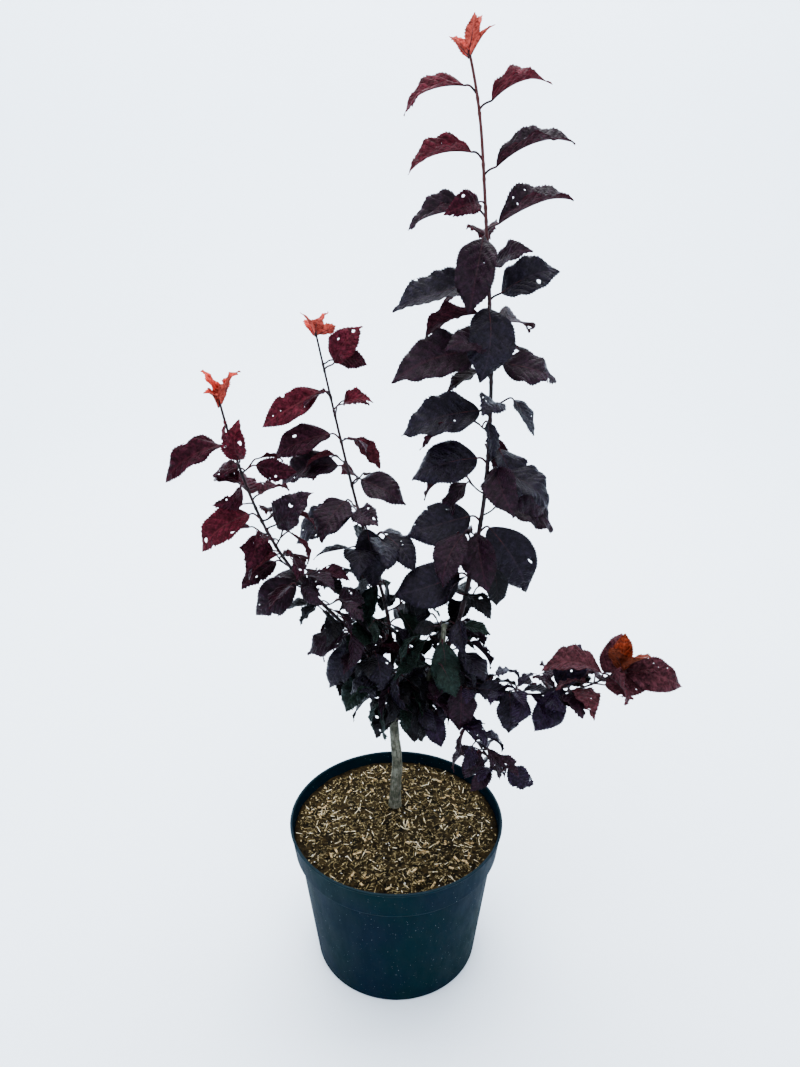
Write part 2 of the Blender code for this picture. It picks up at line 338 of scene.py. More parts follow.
def arc(middle, radius, first, last, steps=6):
    """Points round part of a circle, with angles in degrees from outward to upward."""
    turns = [math.radians(first + (last - first) * step / steps) for step in range(steps + 1)]
    return [(middle[0] + radius * math.cos(turn), middle[1] + radius * math.sin(turn)) for turn in turns]


def ease(start, end, steps=6):
    """Points of a soft S from one place to another, for the step below the collar."""
    shares = [step / steps for step in range(steps + 1)]
    return [(start[0] + (end[0] - start[0]) * share * share * (3 - 2 * share),
             start[1] + (end[1] - start[1]) * share) for share in shares]


def pot_profile():
    """From the middle of the floor's upper side, up the inside, over the lip and down to the underside."""
    inner = [(0.0, FLOOR), (wall_radius(FLOOR) - WALL, FLOOR)]
    inner += ease((STEP_RADIUS - WALL, STEP_FOOT), (COLLAR_FOOT_RADIUS - WALL, COLLAR_FOOT))
    lip = arc((RIM_RADIUS - LIP / 2, POT_HEIGHT - LIP / 2), LIP / 2, 180, -50, 12)
    outer = [(RIM_RADIUS - LIP_UNDERCUT, POT_HEIGHT - LIP - LIP_UNDERCUT)]
    outer += ease((COLLAR_FOOT_RADIUS, COLLAR_FOOT), (STEP_RADIUS, STEP_FOOT))
    foot = arc((BASE_RADIUS - BASE_ROUND, BASE_ROUND), BASE_ROUND, 0, -90)
    return inner + lip + outer + foot + [(0.0, 0.0)]


# %% Pot
def circle(radius, height, turns):
    """Points round a level circle about Z."""
    angles = [math.tau * turn / turns for turn in range(turns)]
    return [(radius * math.cos(angle), radius * math.sin(angle), height) for angle in angles]


def turn_profile(profile, turns):
    """Points and faces of a profile turned about Z; points on the axis become one."""
    points = []
    rings = []
    for radius, height in profile:
        if radius < 1e-6:
            rings.append([len(points)] * turns)
            points.append((0.0, 0.0, height))
            continue
        rings.append(list(range(len(points), len(points) + turns)))
        points += circle(radius, height, turns)
    faces = []
    for upper, lower in zip(rings, rings[1:]):
        for step in range(turns):
            ahead = (step + 1) % turns
            face = [upper[step], lower[step], lower[ahead], upper[ahead]]
            face = [point for index, point in enumerate(face) if point != face[index - 1]]
            if len(face) > 2:
                faces.append(face)
    return points, faces


def cut_drain_holes(piece, count=6, radius=6.0, from_middle=85.0):
    """Round holes through the floor, joined to one cutter and cut in one Boolean."""
    cutters = bmesh.new()
    for index in range(count):
        turn = math.tau * index / count
        made = bmesh.ops.create_cone(cutters, cap_ends=True, segments=24, radius1=radius * MM,
                                     radius2=radius * MM, depth=0.012)
        place = Vector((from_middle * MM * math.cos(turn), from_middle * MM * math.sin(turn), 0.001))
        bmesh.ops.translate(cutters, verts=made["verts"], vec=place)
    mesh = bpy.data.meshes.new("drain_cutters")
    cutters.to_mesh(mesh)
    cutters.free()
    cutter = bpy.data.objects.new("drain_cutters", mesh)
    bpy.context.scene.collection.objects.link(cutter)
    cut = piece.modifiers.new("drain holes", "BOOLEAN")
    cut.object = cutter
    cut.operation = "DIFFERENCE"
    evaluated = piece.evaluated_get(bpy.context.evaluated_depsgraph_get())
    result = bpy.data.meshes.new_from_object(evaluated)
    piece.modifiers.remove(cut)
    piece.data = result
    bpy.data.objects.remove(cutter)


pot_points, pot_faces = turn_profile(pot_profile(), POT_TURNS)
pot = new_piece("pot_shell", pot_points, pot_faces, [make_pot_finish()])
cut_drain_holes(pot)
register(pot, "pot_plastic", "pot")

# %% [markdown]
# ## Stems
# Stem wood is a tube that tapers, with small swellings where leaves sit. A stem could be a curve drawn
# by hand, but growing it is shorter: it starts beside the stem that carries it and turns a little with
# every millimetre, towards the lean that it has there. These are the sizes that the frame's solids
# were grown from, so the finished stems lie where those do.

# %% Stem sizes
class Limb(NamedTuple):
    """One stem: what carries it, where its foot is set, and how it leans on the way to its tip.

    Leans are degrees from upright and headings are compass turns, 0 to the right and 90 away from
    the viewer, both at equal steps from foot to tip.
    """
    carrier: str
    along: int
    aside: tuple
    length: int
    headings: tuple
    leans: tuple
    foot_radius: float
    tip_radius: float


TRUNK_FOOT = (-2.0, 38.0, 194.3)
LIMBS = {
    "trunk": Limb("", 0, (0, 0), 155, (0,), (1, 4, 2, -6, -4, 0), 7.6, 5.9),
    "old_limb": Limb("trunk", 155, (5, 3.4), 154, (0, -45), (0, 55, 68, 24, 18, 19, 17, 8, 2), 3.9, 3.3),
    "leader": Limb("old_limb", 97, (28, 7.3), 688, (15,), (29, 11, 9, 2, -1, -5, -5, -6, -17), 3.1, 1.45),
    "centre_left": Limb("trunk", 155, (128, 4.6), 488, (20, 110, 150, 150, 148, 146, 144),
                        (0, 10, 19, 17, 15, 15, 15), 2.6, 1.2),
    "far_left": Limb("trunk", 155, (217, 4.4), 476, (206,), (0, 24, 40, 37, 30, 20, 14, 10), 2.6, 1.25),
    "low_right": Limb("trunk", 149, (-23, 8.1), 305, (-11,), (40, 56, 88, 94, 80, 60, 50), 2.0, 1.0),
    "drooping": Limb("trunk", 140, (-39, 8.0), 172, (-12, -48), (52, 74, 116, 130, 132), 1.2, 0.85),
}
UPRIGHT = np.array([0.0, 0.0, 1.0])


def profile_at(sizes, share):
    """A size read from sizes given at equal steps, this share of the way along."""
    return float(np.interp(share, np.linspace(0.0, 1.0, len(sizes)), sizes))


def compass(heading):
    """The level direction of a compass turn in degrees."""
    turn = math.radians(heading)
    return np.array([math.cos(turn), math.sin(turn), 0.0])


def grow_route(limb, routes):
    """A point for each millimetre of a stem."""
    if limb.carrier:
        point = routes[limb.carrier][limb.along] + compass(limb.aside[0]) * limb.aside[1]
    else:
        point = np.array(TRUNK_FOOT)
    route = [point]
    for step in range(limb.length):
        share = step / limb.length
        lean = math.radians(profile_at(limb.leans, share))
        level = compass(profile_at(limb.headings, share))
        route.append(route[-1] + level * math.sin(lean) + UPRIGHT * math.cos(lean))
    return np.array(route)


ROUTES = {}
for name, limb in LIMBS.items():
    ROUTES[name] = grow_route(limb, ROUTES)
    print(name, "grows to", [round(float(value)) for value in ROUTES[name][-1]])


def stem_radius(name, up):
    limb = LIMBS[name]
    return limb.foot_radius + (limb.tip_radius - limb.foot_radius) * up / limb.length


def stem_point(name, up):
    """The place this far up a stem, and the stem's direction there."""
    route = ROUTES[name]
    up = min(max(int(round(up)), 1), len(route) - 2)
    return route[up], route[up + 1] - route[up]


# %% Tubes
UV_SCALE = 100.0            # millimetres to one unit of a UV map


def lengths_along(route):
    """How far along a route each of its points lies."""
    return np.concatenate([[0.0], np.cumsum(np.linalg.norm(np.diff(route, axis=0), axis=1))])


def tube(route, radii, sides, relief=None):
    """Points, faces and UVs of a closed tube. relief(angle, length) adds to the radius."""
    route = np.asarray(route, float)
    tangents = np.gradient(route, axis=0)
    tangents /= np.linalg.norm(tangents, axis=1)[:, None]
    across = np.cross(tangents[0], (0.0, 1.0, 0.0))
    across /= np.linalg.norm(across)
    lengths = lengths_along(route)
    points = []
    uvs = []
    for ring, (middle, tangent, radius) in enumerate(zip(route, tangents, radii)):
        across = across - tangent * across.dot(tangent)
        across /= np.linalg.norm(across)
        upright = np.cross(tangent, across)
        for side in range(sides):
            angle = math.tau * side / sides
            grown = radius + (relief(angle, lengths[ring]) if relief else 0.0)
            points.append(middle + grown * (math.cos(angle) * across + math.sin(angle) * upright))
            uvs.append((lengths[ring] / UV_SCALE, side / sides))
    faces = []
    for ring in range(len(route) - 1):
        for side in range(sides):
            ahead = (side + 1) % sides
            low = ring * sides
            high = low + sides
            faces.append((low + side, low + ahead, high + ahead, high + side))
    foot, top = len(points), len(points) + 1
    points += [route[0], route[-1] + tangents[-1] * radii[-1] * 0.5]
    uvs += [(0.0, 0.0), (lengths[-1] / UV_SCALE, 0.0)]
    last = (len(route) - 1) * sides
    for side in range(sides):
        ahead = (side + 1) % sides
        faces.append((foot, ahead, side))
        faces.append((top, last + side, last + ahead))
    return np.array(points), faces, np.array(uvs)


class Gather:
    """Collects the points, faces and UVs of many small shapes for one piece."""

    def __init__(self):
        self.points = []
        self.faces = []
        self.uvs = []
        self.material_of = []
        self.count = 0

    def add(self, points, faces, uvs, material_of=0):
        self.points.append(np.asarray(points, float))
        self.uvs.append(np.asarray(uvs, float))
        self.faces += [tuple(corner + self.count for corner in face) for face in faces]
        if isinstance(material_of, int):
            material_of = [material_of] * len(faces)
        self.material_of += list(material_of)
        self.count += len(points)

    def piece(self, name, materials):
        return new_piece(name, np.concatenate(self.points), self.faces, materials, self.material_of,
                         np.concatenate(self.uvs))


# %% [markdown]
# ## Bark
# The trunk's bark is thin and grey-brown, crossed by short corky marks. The young shoots are smooth
# and almost black with a purple tinge, and the highest of them, this year's wood, is red-brown. The
# corky marks and the slow swellings are real relief in the mesh, and the finest grain is bump in the
# material.

# %% Bark materials
BARK_SHADE, BARK_LIGHT = (0.078, 0.078, 0.057), (0.190, 0.188, 0.146)
BARK_GRAIN = (0.030, 0.028, 0.020)
BARK_MARK = (0.012, 0.010, 0.008)
SHOOT_BLACK, SHOOT_PURPLE = (0.010, 0.0050, 0.0068), (0.030, 0.013, 0.016)
SHOOT_GRAIN = (0.065, 0.050, 0.046)
SHOOT_RED = (0.085, 0.022, 0.021)
YOUNG_WOOD = (0.80, 1.02)   # in metres: between these heights the wood turns from black to red-brown


def make_grey_bark():
    finish = Finish("grey_bark")
    place = finish.coordinates()
    patches = finish.noise(place, 110.0, 4.0)
    grain = finish.noise(finish.mapping(place, (1.0, 1.0, 0.16)), 620.0, 5.0, 0.65)
    marks = finish.noise(finish.mapping(place, (1.0, 1.0, 3.0)), 210.0, 2.0)
    colour = finish.mix(finish.spread(patches, 0.35, 0.68), BARK_SHADE, BARK_LIGHT)
    colour = finish.mix(finish.spread(grain, 0.42, 0.66, 0.0, 0.75), colour, BARK_GRAIN)
    colour = finish.mix(finish.spread(marks, 0.64, 0.72, 0.0, 0.9), colour, BARK_MARK)
    finish.set(Base_Color=colour, Roughness=0.82, Specular_IOR_Level=0.2)
    finish.bump(finish.math("SUBTRACT", grain, marks), 0.7, 0.0010)
    return finish.material


def make_purple_bark():
    finish = Finish("purple_bark")
    place = finish.coordinates()
    patches = finish.noise(place, 70.0, 3.0)
    grain = finish.noise(finish.mapping(place, (1.0, 1.0, 0.3)), 700.0, 4.0)
    colour = finish.mix(finish.spread(patches, 0.35, 0.7), SHOOT_BLACK, SHOOT_PURPLE)
    colour = finish.mix(finish.spread(grain, 0.6, 0.8, 0.0, 0.4), colour, SHOOT_GRAIN)
    young = finish.spread(finish.split(place)["Z"], *YOUNG_WOOD, 0.0, 0.8)
    finish.set(Base_Color=finish.mix(young, colour, SHOOT_RED), Roughness=0.5, Specular_IOR_Level=0.2)
    finish.bump(grain, 0.25, 0.0004)
    return finish.material


grey_bark = make_grey_bark()
purple_bark = make_purple_bark()


# %% Trunk and old limb
FLARE = 1.9                 # how much the root flare adds to the radius
FLARE_FADE = 9.0            # and how fast it fades going up
FORK_SKIPPED = 8            # the old limb's first millimetres lie inside the fork
SWELLING = 0.60             # the bark's relief, each kind by its greatest height
FURROW = 0.35
CORK_MARK = 1.6
KNOB = 1.3


def trunk_radius(up):
    """The trunk's radius this far up it, and on up the old limb that continues it."""
    trunk = LIMBS["trunk"].length
    if up <= trunk:
        return stem_radius("trunk", up) + FLARE * math.exp(-up / FLARE_FADE)
    return stem_radius("old_limb", min(up - trunk + FORK_SKIPPED, LIMBS["old_limb"].length))


def bark_noise(angle, length, around, upward, shift=0.0):
    """Smooth noise on a stem, by how fast it changes around the stem and up it."""
    x, y = math.cos(angle) * around, math.sin(angle) * around
    return noise.noise(Vector((x, y, length * upward + shift)))


def trunk_relief(angle, length):
    """Slow swellings, shallow furrows up the stem, raised corky cross marks and a few knobs."""
    slow = bark_noise(angle, length, 1.3, 0.045)
    furrow = bark_noise(angle, length, 4.2, 0.10, 7.0)
    mark = max(0.0, bark_noise(angle, length, 2.2, 0.55, 31.0) - 0.32)
    knob = max(0.0, bark_noise(angle, length, 1.1, 0.085, 52.0) - 0.1)
    return SWELLING * slow + FURROW * furrow + CORK_MARK * mark + KNOB * knob


def softened(route, reach):
    """A route with its corners rounded, ends kept."""
    result = route.copy()
    for index in range(len(route)):
        span = min(reach, index, len(route) - 1 - index)
        result[index] = route[index - span:index + span + 1].mean(axis=0)
    return result


trunk_route = softened(np.concatenate([ROUTES["trunk"], ROUTES["old_limb"][FORK_SKIPPED:]]), 8)
trunk_radii = softened(np.array([trunk_radius(up) for up in lengths_along(trunk_route)]), 12)
trunk_wood = Gather()
trunk_wood.add(*tube(trunk_route, trunk_radii, 40, trunk_relief))
trunk_bark = trunk_wood.piece("trunk_bark", [grey_bark])
register(trunk_bark, "grey_bark", "trunk", "old_limb")

# %% [markdown]
# ## Leaves
# The leaves carry the plant's looks. A leaf is a thin closed solid: a pointed oval with fine teeth,
# folded along its midrib, arched, quilted between its side veins, and here and there bitten or holed
# by insects. A textured card would be lighter, but the teeth and holes show against the sky, so each
# leaf is cut out as a real outline. The flat outline is triangulated with its midrib and side veins
# as lines, then bent into its place.

# %% Leaf outline
TOOTH = 3.1                 # length of one tooth of the margin
TOOTH_DEPTH = 1.35
VEIN_STEP = 8.2             # between side veins along the midrib
VEIN_LEAN = 0.85            # how far a side vein runs forward for each millimetre outward
VEIN_CURVE = 0.012          # and how much faster it does so near the margin
GRAIN_LENGTH = 58.0         # veins keep these spacings on a leaf of this length, and shrink with it
QUILT = 0.75                # how far a leaf stands up between two side veins
CRUMPLE = 2.0               # slow uneven swellings all over a leaf
CRUMPLE_GRAIN = 11.0
LEAF_SKIN = 0.32            # thickness of a leaf
WIDEST = 0.83               # a power below 1 sets the widest place nearer the base
FULLNESS = 0.82             # and another makes the oval fuller
POINT_START = 0.72          # the drawn-out point, as shares of the length
POINT_LENGTH = 0.28
POINT_PINCH = 0.24
EDGE_SWING = 0.085          # how unevenly the two halves are drawn
VEIN_POINTS = 3.0           # between mesh points along a side vein


def leaf_half(share, width):
    """Half the width of a leaf at a share of its length from the base."""
    share = np.clip(share, 0.0, 1.0)
    body = np.sin(np.pi * share ** WIDEST) ** FULLNESS
    point = np.clip((share - POINT_START) / POINT_LENGTH, 0.0, 1.0)
    return 0.5 * width * body * (1.0 - POINT_PINCH * point * point * (3 - 2 * point))


def leaf_edge(length, width, dice):
    """The leaf's toothed outline as a closed loop of (along, across) points."""
    teeth = max(7, round(length / TOOTH))
    wobble = [dice.uniform(-1, 1) for _ in range(8)]
    loop = []
    for side in (1, -1):
        places = []
        for tooth in range(teeth):
            for part, depth in ((0.0, -0.5), (0.72, 0.55)):
                share = (tooth + part) / teeth
                if 0.0 < share < 1.0:
                    places.append((share, depth * min(1.0, 6 * share, 8 * (1 - share))))
        row = []
        for share, depth in places:
            swing = EDGE_SWING * sum(size * math.sin((turn % 4 + 2) * 2.3 * share + turn * side)
                                     for turn, size in enumerate(wobble)) / 2
            half = float(leaf_half(share, width)) * (1 + swing) + TOOTH_DEPTH * depth
            row.append((share * length, side * max(0.25, half)))
        loop += row if side == 1 else row[::-1]
        if side == 1:
            loop.append((length, 0.0))
    loop.append((0.0, 0.0))
    return loop


def bite(centre, radius, dice, corners=9):
    """A ragged outline, as an insect eats it: longer than wide and never quite round."""
    turn = dice.uniform(0, math.tau)
    squash = dice.uniform(0.4, 0.95)
    lean = dice.uniform(0, math.pi)
    loop = []
    for corner in range(corners):
        angle = turn + math.tau * (corner + dice.uniform(-0.3, 0.3)) / corners
        reach = radius * dice.uniform(0.6, 1.3)
        x, y = reach * math.cos(angle), reach * squash * math.sin(angle)
        loop.append((centre[0] + x * math.cos(lean) - y * math.sin(lean),
                     centre[1] + x * math.sin(lean) + y * math.cos(lean)))
    return loop


def inside(points, loop):
    """Which points lie inside a closed loop."""
    points = np.asarray(points)
    loop = np.asarray(loop)
    result = np.zeros(len(points), bool)
    for (x0, y0), (x1, y1) in zip(loop, np.roll(loop, -1, axis=0)):
        crosses = (y0 > points[:, 1]) != (y1 > points[:, 1])
        with np.errstate(divide="ignore", invalid="ignore"):
            at = (x1 - x0) * (points[:, 1] - y0) / (y1 - y0) + x0
        result ^= crosses & (points[:, 0] < at)
    return result


def leaf_cutout(length, width, worn, dice):
    """Flat points and triangles of one leaf. worn is how much insects have eaten, 0 to 3."""
    edge = leaf_edge(length, width, dice)
    gone = []
    hunger = worn * dice.random() ** 1.7 * 2.0
    for _ in range(round(hunger * dice.uniform(0.4, 1.3))):
        share = dice.uniform(0.2, 0.95)
        side = dice.choice((-1, 1))
        radius = dice.uniform(1.5, 4.6) * (width / 38) ** 0.5
        gone.append(bite((share * length, side * leaf_half(share, width) * 1.02), radius, dice))
    for _ in range(round(hunger * dice.uniform(0.6, 2.0))):
        share = dice.uniform(0.2, 0.85)
        across = dice.uniform(0.2, 0.75) * dice.choice((-1, 1)) * leaf_half(share, width)
        gone.append(bite((share * length, across), 0.7 + 2.2 * dice.random() ** 2, dice, 8))
    points = [Vector(point) for point in edge]
    lines = [(i, (i + 1) % len(edge)) for i in range(len(edge))]
    for loop in gone:
        first = len(points)
        points += [Vector(point) for point in loop]
        lines += [(first + i, first + (i + 1) % len(loop)) for i in range(len(loop))]
    first = len(points)
    rib = np.linspace(0.03, 0.97, max(5, round(length / 4)))
    points += [Vector((share * length, 0.0)) for share in rib]
    lines += [(first + i, first + i + 1) for i in range(len(rib) - 1)]
    grain = length / GRAIN_LENGTH
    vein = -3
    while vein * VEIN_STEP / 2 * grain < length:
        for side in (-1, 1):
            out = VEIN_POINTS
            while out * grain < width / 2:
                along = (vein * VEIN_STEP / 2 + VEIN_LEAN * out + VEIN_CURVE * out * out) * grain
                share = along / length
                if 0.02 < share < 0.98 and out * grain < leaf_half(share, width) - 1.3:
                    points.append(Vector((along, side * out * grain)))
                out += VEIN_POINTS
        vein += 1
    made = delaunay_2d_cdt(points, lines, [], 0, 1e-4)
    flat = np.array([tuple(point) for point in made[0]])
    faces = np.array(made[2])
    middles = flat[faces].mean(axis=1)
    whole = inside(middles, edge)
    for loop in gone:
        whole &= ~inside(middles, loop)
    faces = faces[whole]
    used = np.unique(faces)
    renumber = np.full(len(flat), -1)
    renumber[used] = np.arange(len(used))
    return flat[used], renumber[faces]


# %% Leaf bent into place
def vein_height(along, across):
    """Quilting between side veins: -1 on a vein and +1 half way between two."""
    out = np.abs(across)
    start = along - VEIN_LEAN * out - VEIN_CURVE * out * out
    return -np.cos(math.tau * start / VEIN_STEP)


def leaf_frame(base, tip, upper_side):
    """The leaf's own directions: along it, up out of its upper side, and across."""
    along = tip - base
    length = np.linalg.norm(along)
    along = along / length
    up = upper_side - along * upper_side.dot(along)
    up /= np.linalg.norm(up)
    return along, up, np.cross(up, along), length


class Leaf(NamedTuple):
    """One leaf: its two ends, the way its upper side faces, its sizes and its colour."""
    base: np.ndarray
    tip: np.ndarray
    upper_side: np.ndarray
    width: float
    fold: float              # degrees that each half rises from the midrib
    arch: float              # how far its middle bows up
    tint: str
    worn: float
    sweep: float = 0.0       # how far its middle bows to one side, as a share of its length
    twist: float = 0.0       # degrees that the blade turns about its midrib by the tip
    hook: float = 0.0        # how far the tip bends down, as a share of its length


def midrib_offsets(leaf, share, length):
    """How far the midrib stands to the side and up from the straight line between its ends."""
    bow = 4 * share * (1 - share)
    down = leaf.hook * length * np.maximum(0.0, share - 0.6) ** 2 / 0.16
    return leaf.sweep * length * bow, leaf.arch * bow - down


def make_leaf(gather, leaf, dice):
    """One leaf as a thin closed solid, with the upper side in its tint and the rest duller."""
    along, up, across, length = leaf_frame(leaf.base, leaf.tip, leaf.upper_side)
    width = leaf.width
    flat, faces = leaf_cutout(length, width, leaf.worn, dice)
    share = flat[:, 0] / length
    reach = np.clip(np.abs(flat[:, 1]) / np.maximum(leaf_half(share, width), 1.0), 0.0, 1.2)
    bend = math.radians(leaf.fold) * (1.15 - 0.5 * share)
    wave_count = dice.uniform(2.0, 4.0)
    wave_size = dice.uniform(0.9, 3.0) * (width / 40)
    crease = dice.uniform(0, 100)
    crumple = np.array([noise.noise(Vector((x / CRUMPLE_GRAIN, y / CRUMPLE_GRAIN, crease)))
                        for x, y in flat])
    phases = (dice.uniform(0, math.tau), dice.uniform(0, math.tau))
    phase = np.where(flat[:, 1] > 0, phases[0], phases[1])
    wave = wave_size * reach ** 2 * np.sin(wave_count * math.tau * share ** 1.2 + phase)
    curl = -dice.uniform(-0.02, 0.09) * width * reach ** 3
    soft = np.minimum(1.0, np.abs(flat[:, 1]) / 4.0)
    grain = length / GRAIN_LENGTH
    quilt = QUILT * grain * vein_height(flat[:, 0] / grain, flat[:, 1] / grain) * soft
    quilt *= 1.0 - 0.5 * reach ** 3
    side = flat[:, 1] * np.cos(bend)
    rise = np.abs(flat[:, 1]) * np.sin(bend) + wave + curl + quilt + CRUMPLE * (width / 40) * crumple * soft
    turn = math.radians(leaf.twist) * (share - 0.2)
    off_side, off_up = midrib_offsets(leaf, share, length)
    off_side = off_side + side * np.cos(turn) - rise * np.sin(turn)
    off_up = off_up + side * np.sin(turn) + rise * np.cos(turn)
    top = leaf.base + np.outer(flat[:, 0], along) + np.outer(off_side, across) + np.outer(off_up, up)
    corners = top[faces]
    normals = np.cross(corners[:, 1] - corners[:, 0], corners[:, 2] - corners[:, 0])
    if (normals @ up).sum() < 0:
        faces = faces[:, ::-1]
        normals = -normals
    smooth = np.zeros_like(top)
    for corner in range(3):
        np.add.at(smooth, faces[:, corner], normals)
    smooth /= np.maximum(np.linalg.norm(smooth, axis=1), 1e-9)[:, None]
    bottom = top - LEAF_SKIN * smooth
    count = len(top)
    edges = {}
    for face_points in faces:
        for one, other in zip(face_points, np.roll(face_points, -1)):
            edges[(int(one), int(other))] = 1
    rim = [(other, one, one + count, other + count) for one, other in edges if (other, one) not in edges]
    all_faces = [tuple(int(i) for i in face_points) for face_points in faces]
    all_faces += [tuple(int(i) + count for i in face_points[::-1]) for face_points in faces]
    all_faces += rim
    uv = np.stack([flat[:, 0] / grain / UV_SCALE, flat[:, 1] / grain / UV_SCALE + 0.5], 1)
    upper = 2 * TINT_ORDER.index(leaf.tint)
    material_of = [upper] * len(faces) + [upper + 1] * (len(all_faces) - len(faces))
    gather.add(np.concatenate([top, bottom]), all_faces, np.concatenate([uv, uv]), material_of)


# %% [markdown]
# ## Leaf colours
# Young leaves at the shoot tips are coral, then crimson and maroon, and the old ones are plum so dark
# that they look slate blue where they mirror the sky. Each tint is a plain base colour; its midrib, and
# the side veins of its underside, are drawn a little lighter, and painted shade darkens the furrows of
# the side veins and the troughs of the wrinkles. The veins are worked out from the leaf's own UV map, by
# the same rule as the quilting of the mesh, so line and relief agree.

# %% Leaf materials
# Upper side, midrib, underside, roughness. An underside is paler, as a leaf's underside is; those of the
# plum, wine, maroon, crimson and rose tints are brighter and redder, partly their own paler colour and
# partly a painted glow of light shining through the leaf.
TINTS = {
    # coral: the young leaves' own red, made brighter as a painted glow of light shining through them
    "coral": ((0.46, 0.058, 0.042), (0.62, 0.14, 0.10), (0.40, 0.078, 0.058), 0.45),
    "rust": ((0.150, 0.026, 0.0110), (0.21, 0.052, 0.026), (0.120, 0.030, 0.016), 0.42),
    "crimson": ((0.076, 0.0115, 0.0190), (0.130, 0.026, 0.032), (0.100, 0.0185, 0.0250), 0.42),
    # rose: a paler, dustier maroon, the sheen of the low branch's maroon leaves painted into their colour
    "rose": ((0.062, 0.0190, 0.0245), (0.105, 0.036, 0.042), (0.082, 0.0260, 0.0325), 0.42),
    "maroon": ((0.037, 0.0066, 0.0130), (0.072, 0.015, 0.022), (0.058, 0.0135, 0.0185), 0.40),
    "wine": ((0.0290, 0.0074, 0.0140), (0.056, 0.015, 0.022), (0.072, 0.0175, 0.0230), 0.40),
    "plum": ((0.0178, 0.0057, 0.0125), (0.036, 0.010, 0.018), (0.040, 0.0115, 0.0170), 0.38),
    # slate: dark plum leaves with the sky's slate-blue reflection painted into their base colour
    "slate": ((0.0125, 0.0086, 0.0160), (0.027, 0.017, 0.026), (0.022, 0.0120, 0.0180), 0.35),
    "black": ((0.0076, 0.0068, 0.0088), (0.018, 0.0110, 0.013), (0.011, 0.0090, 0.0105), 0.38),
    "green": ((0.0078, 0.0165, 0.0125), (0.019, 0.028, 0.021), (0.016, 0.025, 0.019), 0.40),
    "violet": ((0.0140, 0.0062, 0.0190), (0.030, 0.013, 0.031), (0.016, 0.009, 0.020), 0.38),
}
TINT_ORDER = list(TINTS)
SHEEN_OF_WAX = 0.15         # a leaf mirrors less than plastic does
SHEEN_BELOW = 0.04          # and its underside hardly at all
SHEEN_YOUNG = 0.06          # nor does the thin skin of a young, red leaf
YOUNG = ("coral", "rust", "crimson", "rose", "maroon", "wine")


def make_leaf_finish(name, colour, rib_colour, roughness, sheen, upper):
    """A leaf's side: ridges between sunken side veins, painted shade in the vein furrows and wrinkle
    troughs, a midrib, mottling and a fine grain.
    """
    finish = Finish(name)
    uv = finish.split(finish.add("ShaderNodeUVMap", uv_map="surface_uv").outputs["UV"])
    along = finish.math("MULTIPLY", uv["X"], UV_SCALE)
    across = finish.math("MULTIPLY", finish.math("SUBTRACT", uv["Y"], 0.5), UV_SCALE)
    out = finish.math("ABSOLUTE", across)
    lean = finish.math("ADD", finish.math("MULTIPLY", out, VEIN_LEAN),
                       finish.math("MULTIPLY", finish.math("MULTIPLY", out, out), VEIN_CURVE))
    place = finish.coordinates()
    sway = finish.math("MULTIPLY", finish.noise(place, 60.0, 2.0), 4.0)
    turns = finish.math("MULTIPLY", finish.math("SUBTRACT", along, lean), math.tau / VEIN_STEP)
    turns = finish.math("ADD", turns, finish.math("SUBTRACT", sway, 2.0))
    wave = finish.math("COSINE", turns)
    vein = finish.spread(wave, 0.80, 1.0)
    midrib = finish.spread(out, 0.35, 1.1, 1.0, 0.0)
    mottle = finish.noise(place, 160.0, 4.0)
    wrinkle = finish.noise(place, 380.0, 2.0)
    fine = finish.noise(place, 1300.0, 2.0)
    dark = tuple(0.30 * value for value in colour)
    light = tuple(1.8 * value for value in colour)
    body = finish.mix(finish.spread(mottle, 0.30, 0.72, 0.2, 0.85), dark, light)
    # Painted shade: darker in the troughs of the wrinkles
    body = finish.mix(finish.spread(wrinkle, 0.36, 0.56, 0.65, 0.0), body, dark)
    # Painted shade: darker along the sunken side veins
    body = finish.mix(finish.spread(wave, -0.2, 1.0, 0.0, 0.35), body, dark)
    if not upper:
        body = finish.mix(finish.math("MULTIPLY", vein, 0.6), body, rib_colour)
    finish.set(Base_Color=finish.mix(finish.math("MULTIPLY", midrib, 0.45), body, rib_colour))
    finish.set(Roughness=finish.spread(fine, 0.3, 0.7, roughness - 0.06, roughness + 0.10))
    finish.set(Specular_IOR_Level=sheen)
    relief = finish.math("ADD", finish.math("MULTIPLY", wave, -0.18), finish.math("MULTIPLY", vein, -0.14))
    relief = finish.math("ADD", relief, finish.math("MULTIPLY", wrinkle, 1.7))
    relief = finish.math("ADD", relief, finish.math("MULTIPLY", fine, 0.12))
    finish.bump(relief, 1.0, 0.001 if upper else -0.001)
    return finish.material


leaf_materials = []
for tint, (colour, rib_colour, under_colour, roughness) in TINTS.items():
    sheen = SHEEN_YOUNG if tint in YOUNG else SHEEN_OF_WAX
    leaf_materials.append(make_leaf_finish(f"leaf_{tint}", colour, rib_colour, roughness, sheen, True))
    leaf_materials.append(make_leaf_finish(f"leaf_{tint}_underside", under_colour, rib_colour,
                                           roughness + 0.2, SHEEN_BELOW, False))
print(len(leaf_materials), "leaf materials")

# %% [markdown]
# ## Sprays
# The frame holds each mass of foliage as a plain pad. Its two ends, width and fold are read back from
# the solid, and one large leaf grows there. Between the masses the branching rule goes up each stem,
# turns by the golden angle from one bud to the next as real shoots do, and grows a short spur twig with
# a few smaller leaves, or near the tips a single leaf. Each leaf is dealt again while it would run
# through wood or another leaf, and left out where there is no room, so gaps stay open. A strip towards
# the camera is kept free too, before the trunk and the upper old limb, so that their grey wood shows.
# The seed is fixed, so the same plant grows every time.

# %% Read a mass from the frame
STALK = 12.0                # a mass starts this far out from its stem
STALK_RISE = 8.0            # and this far above the place where it leaves
PAD_HALF = 2.5              # half the thickness of a pad


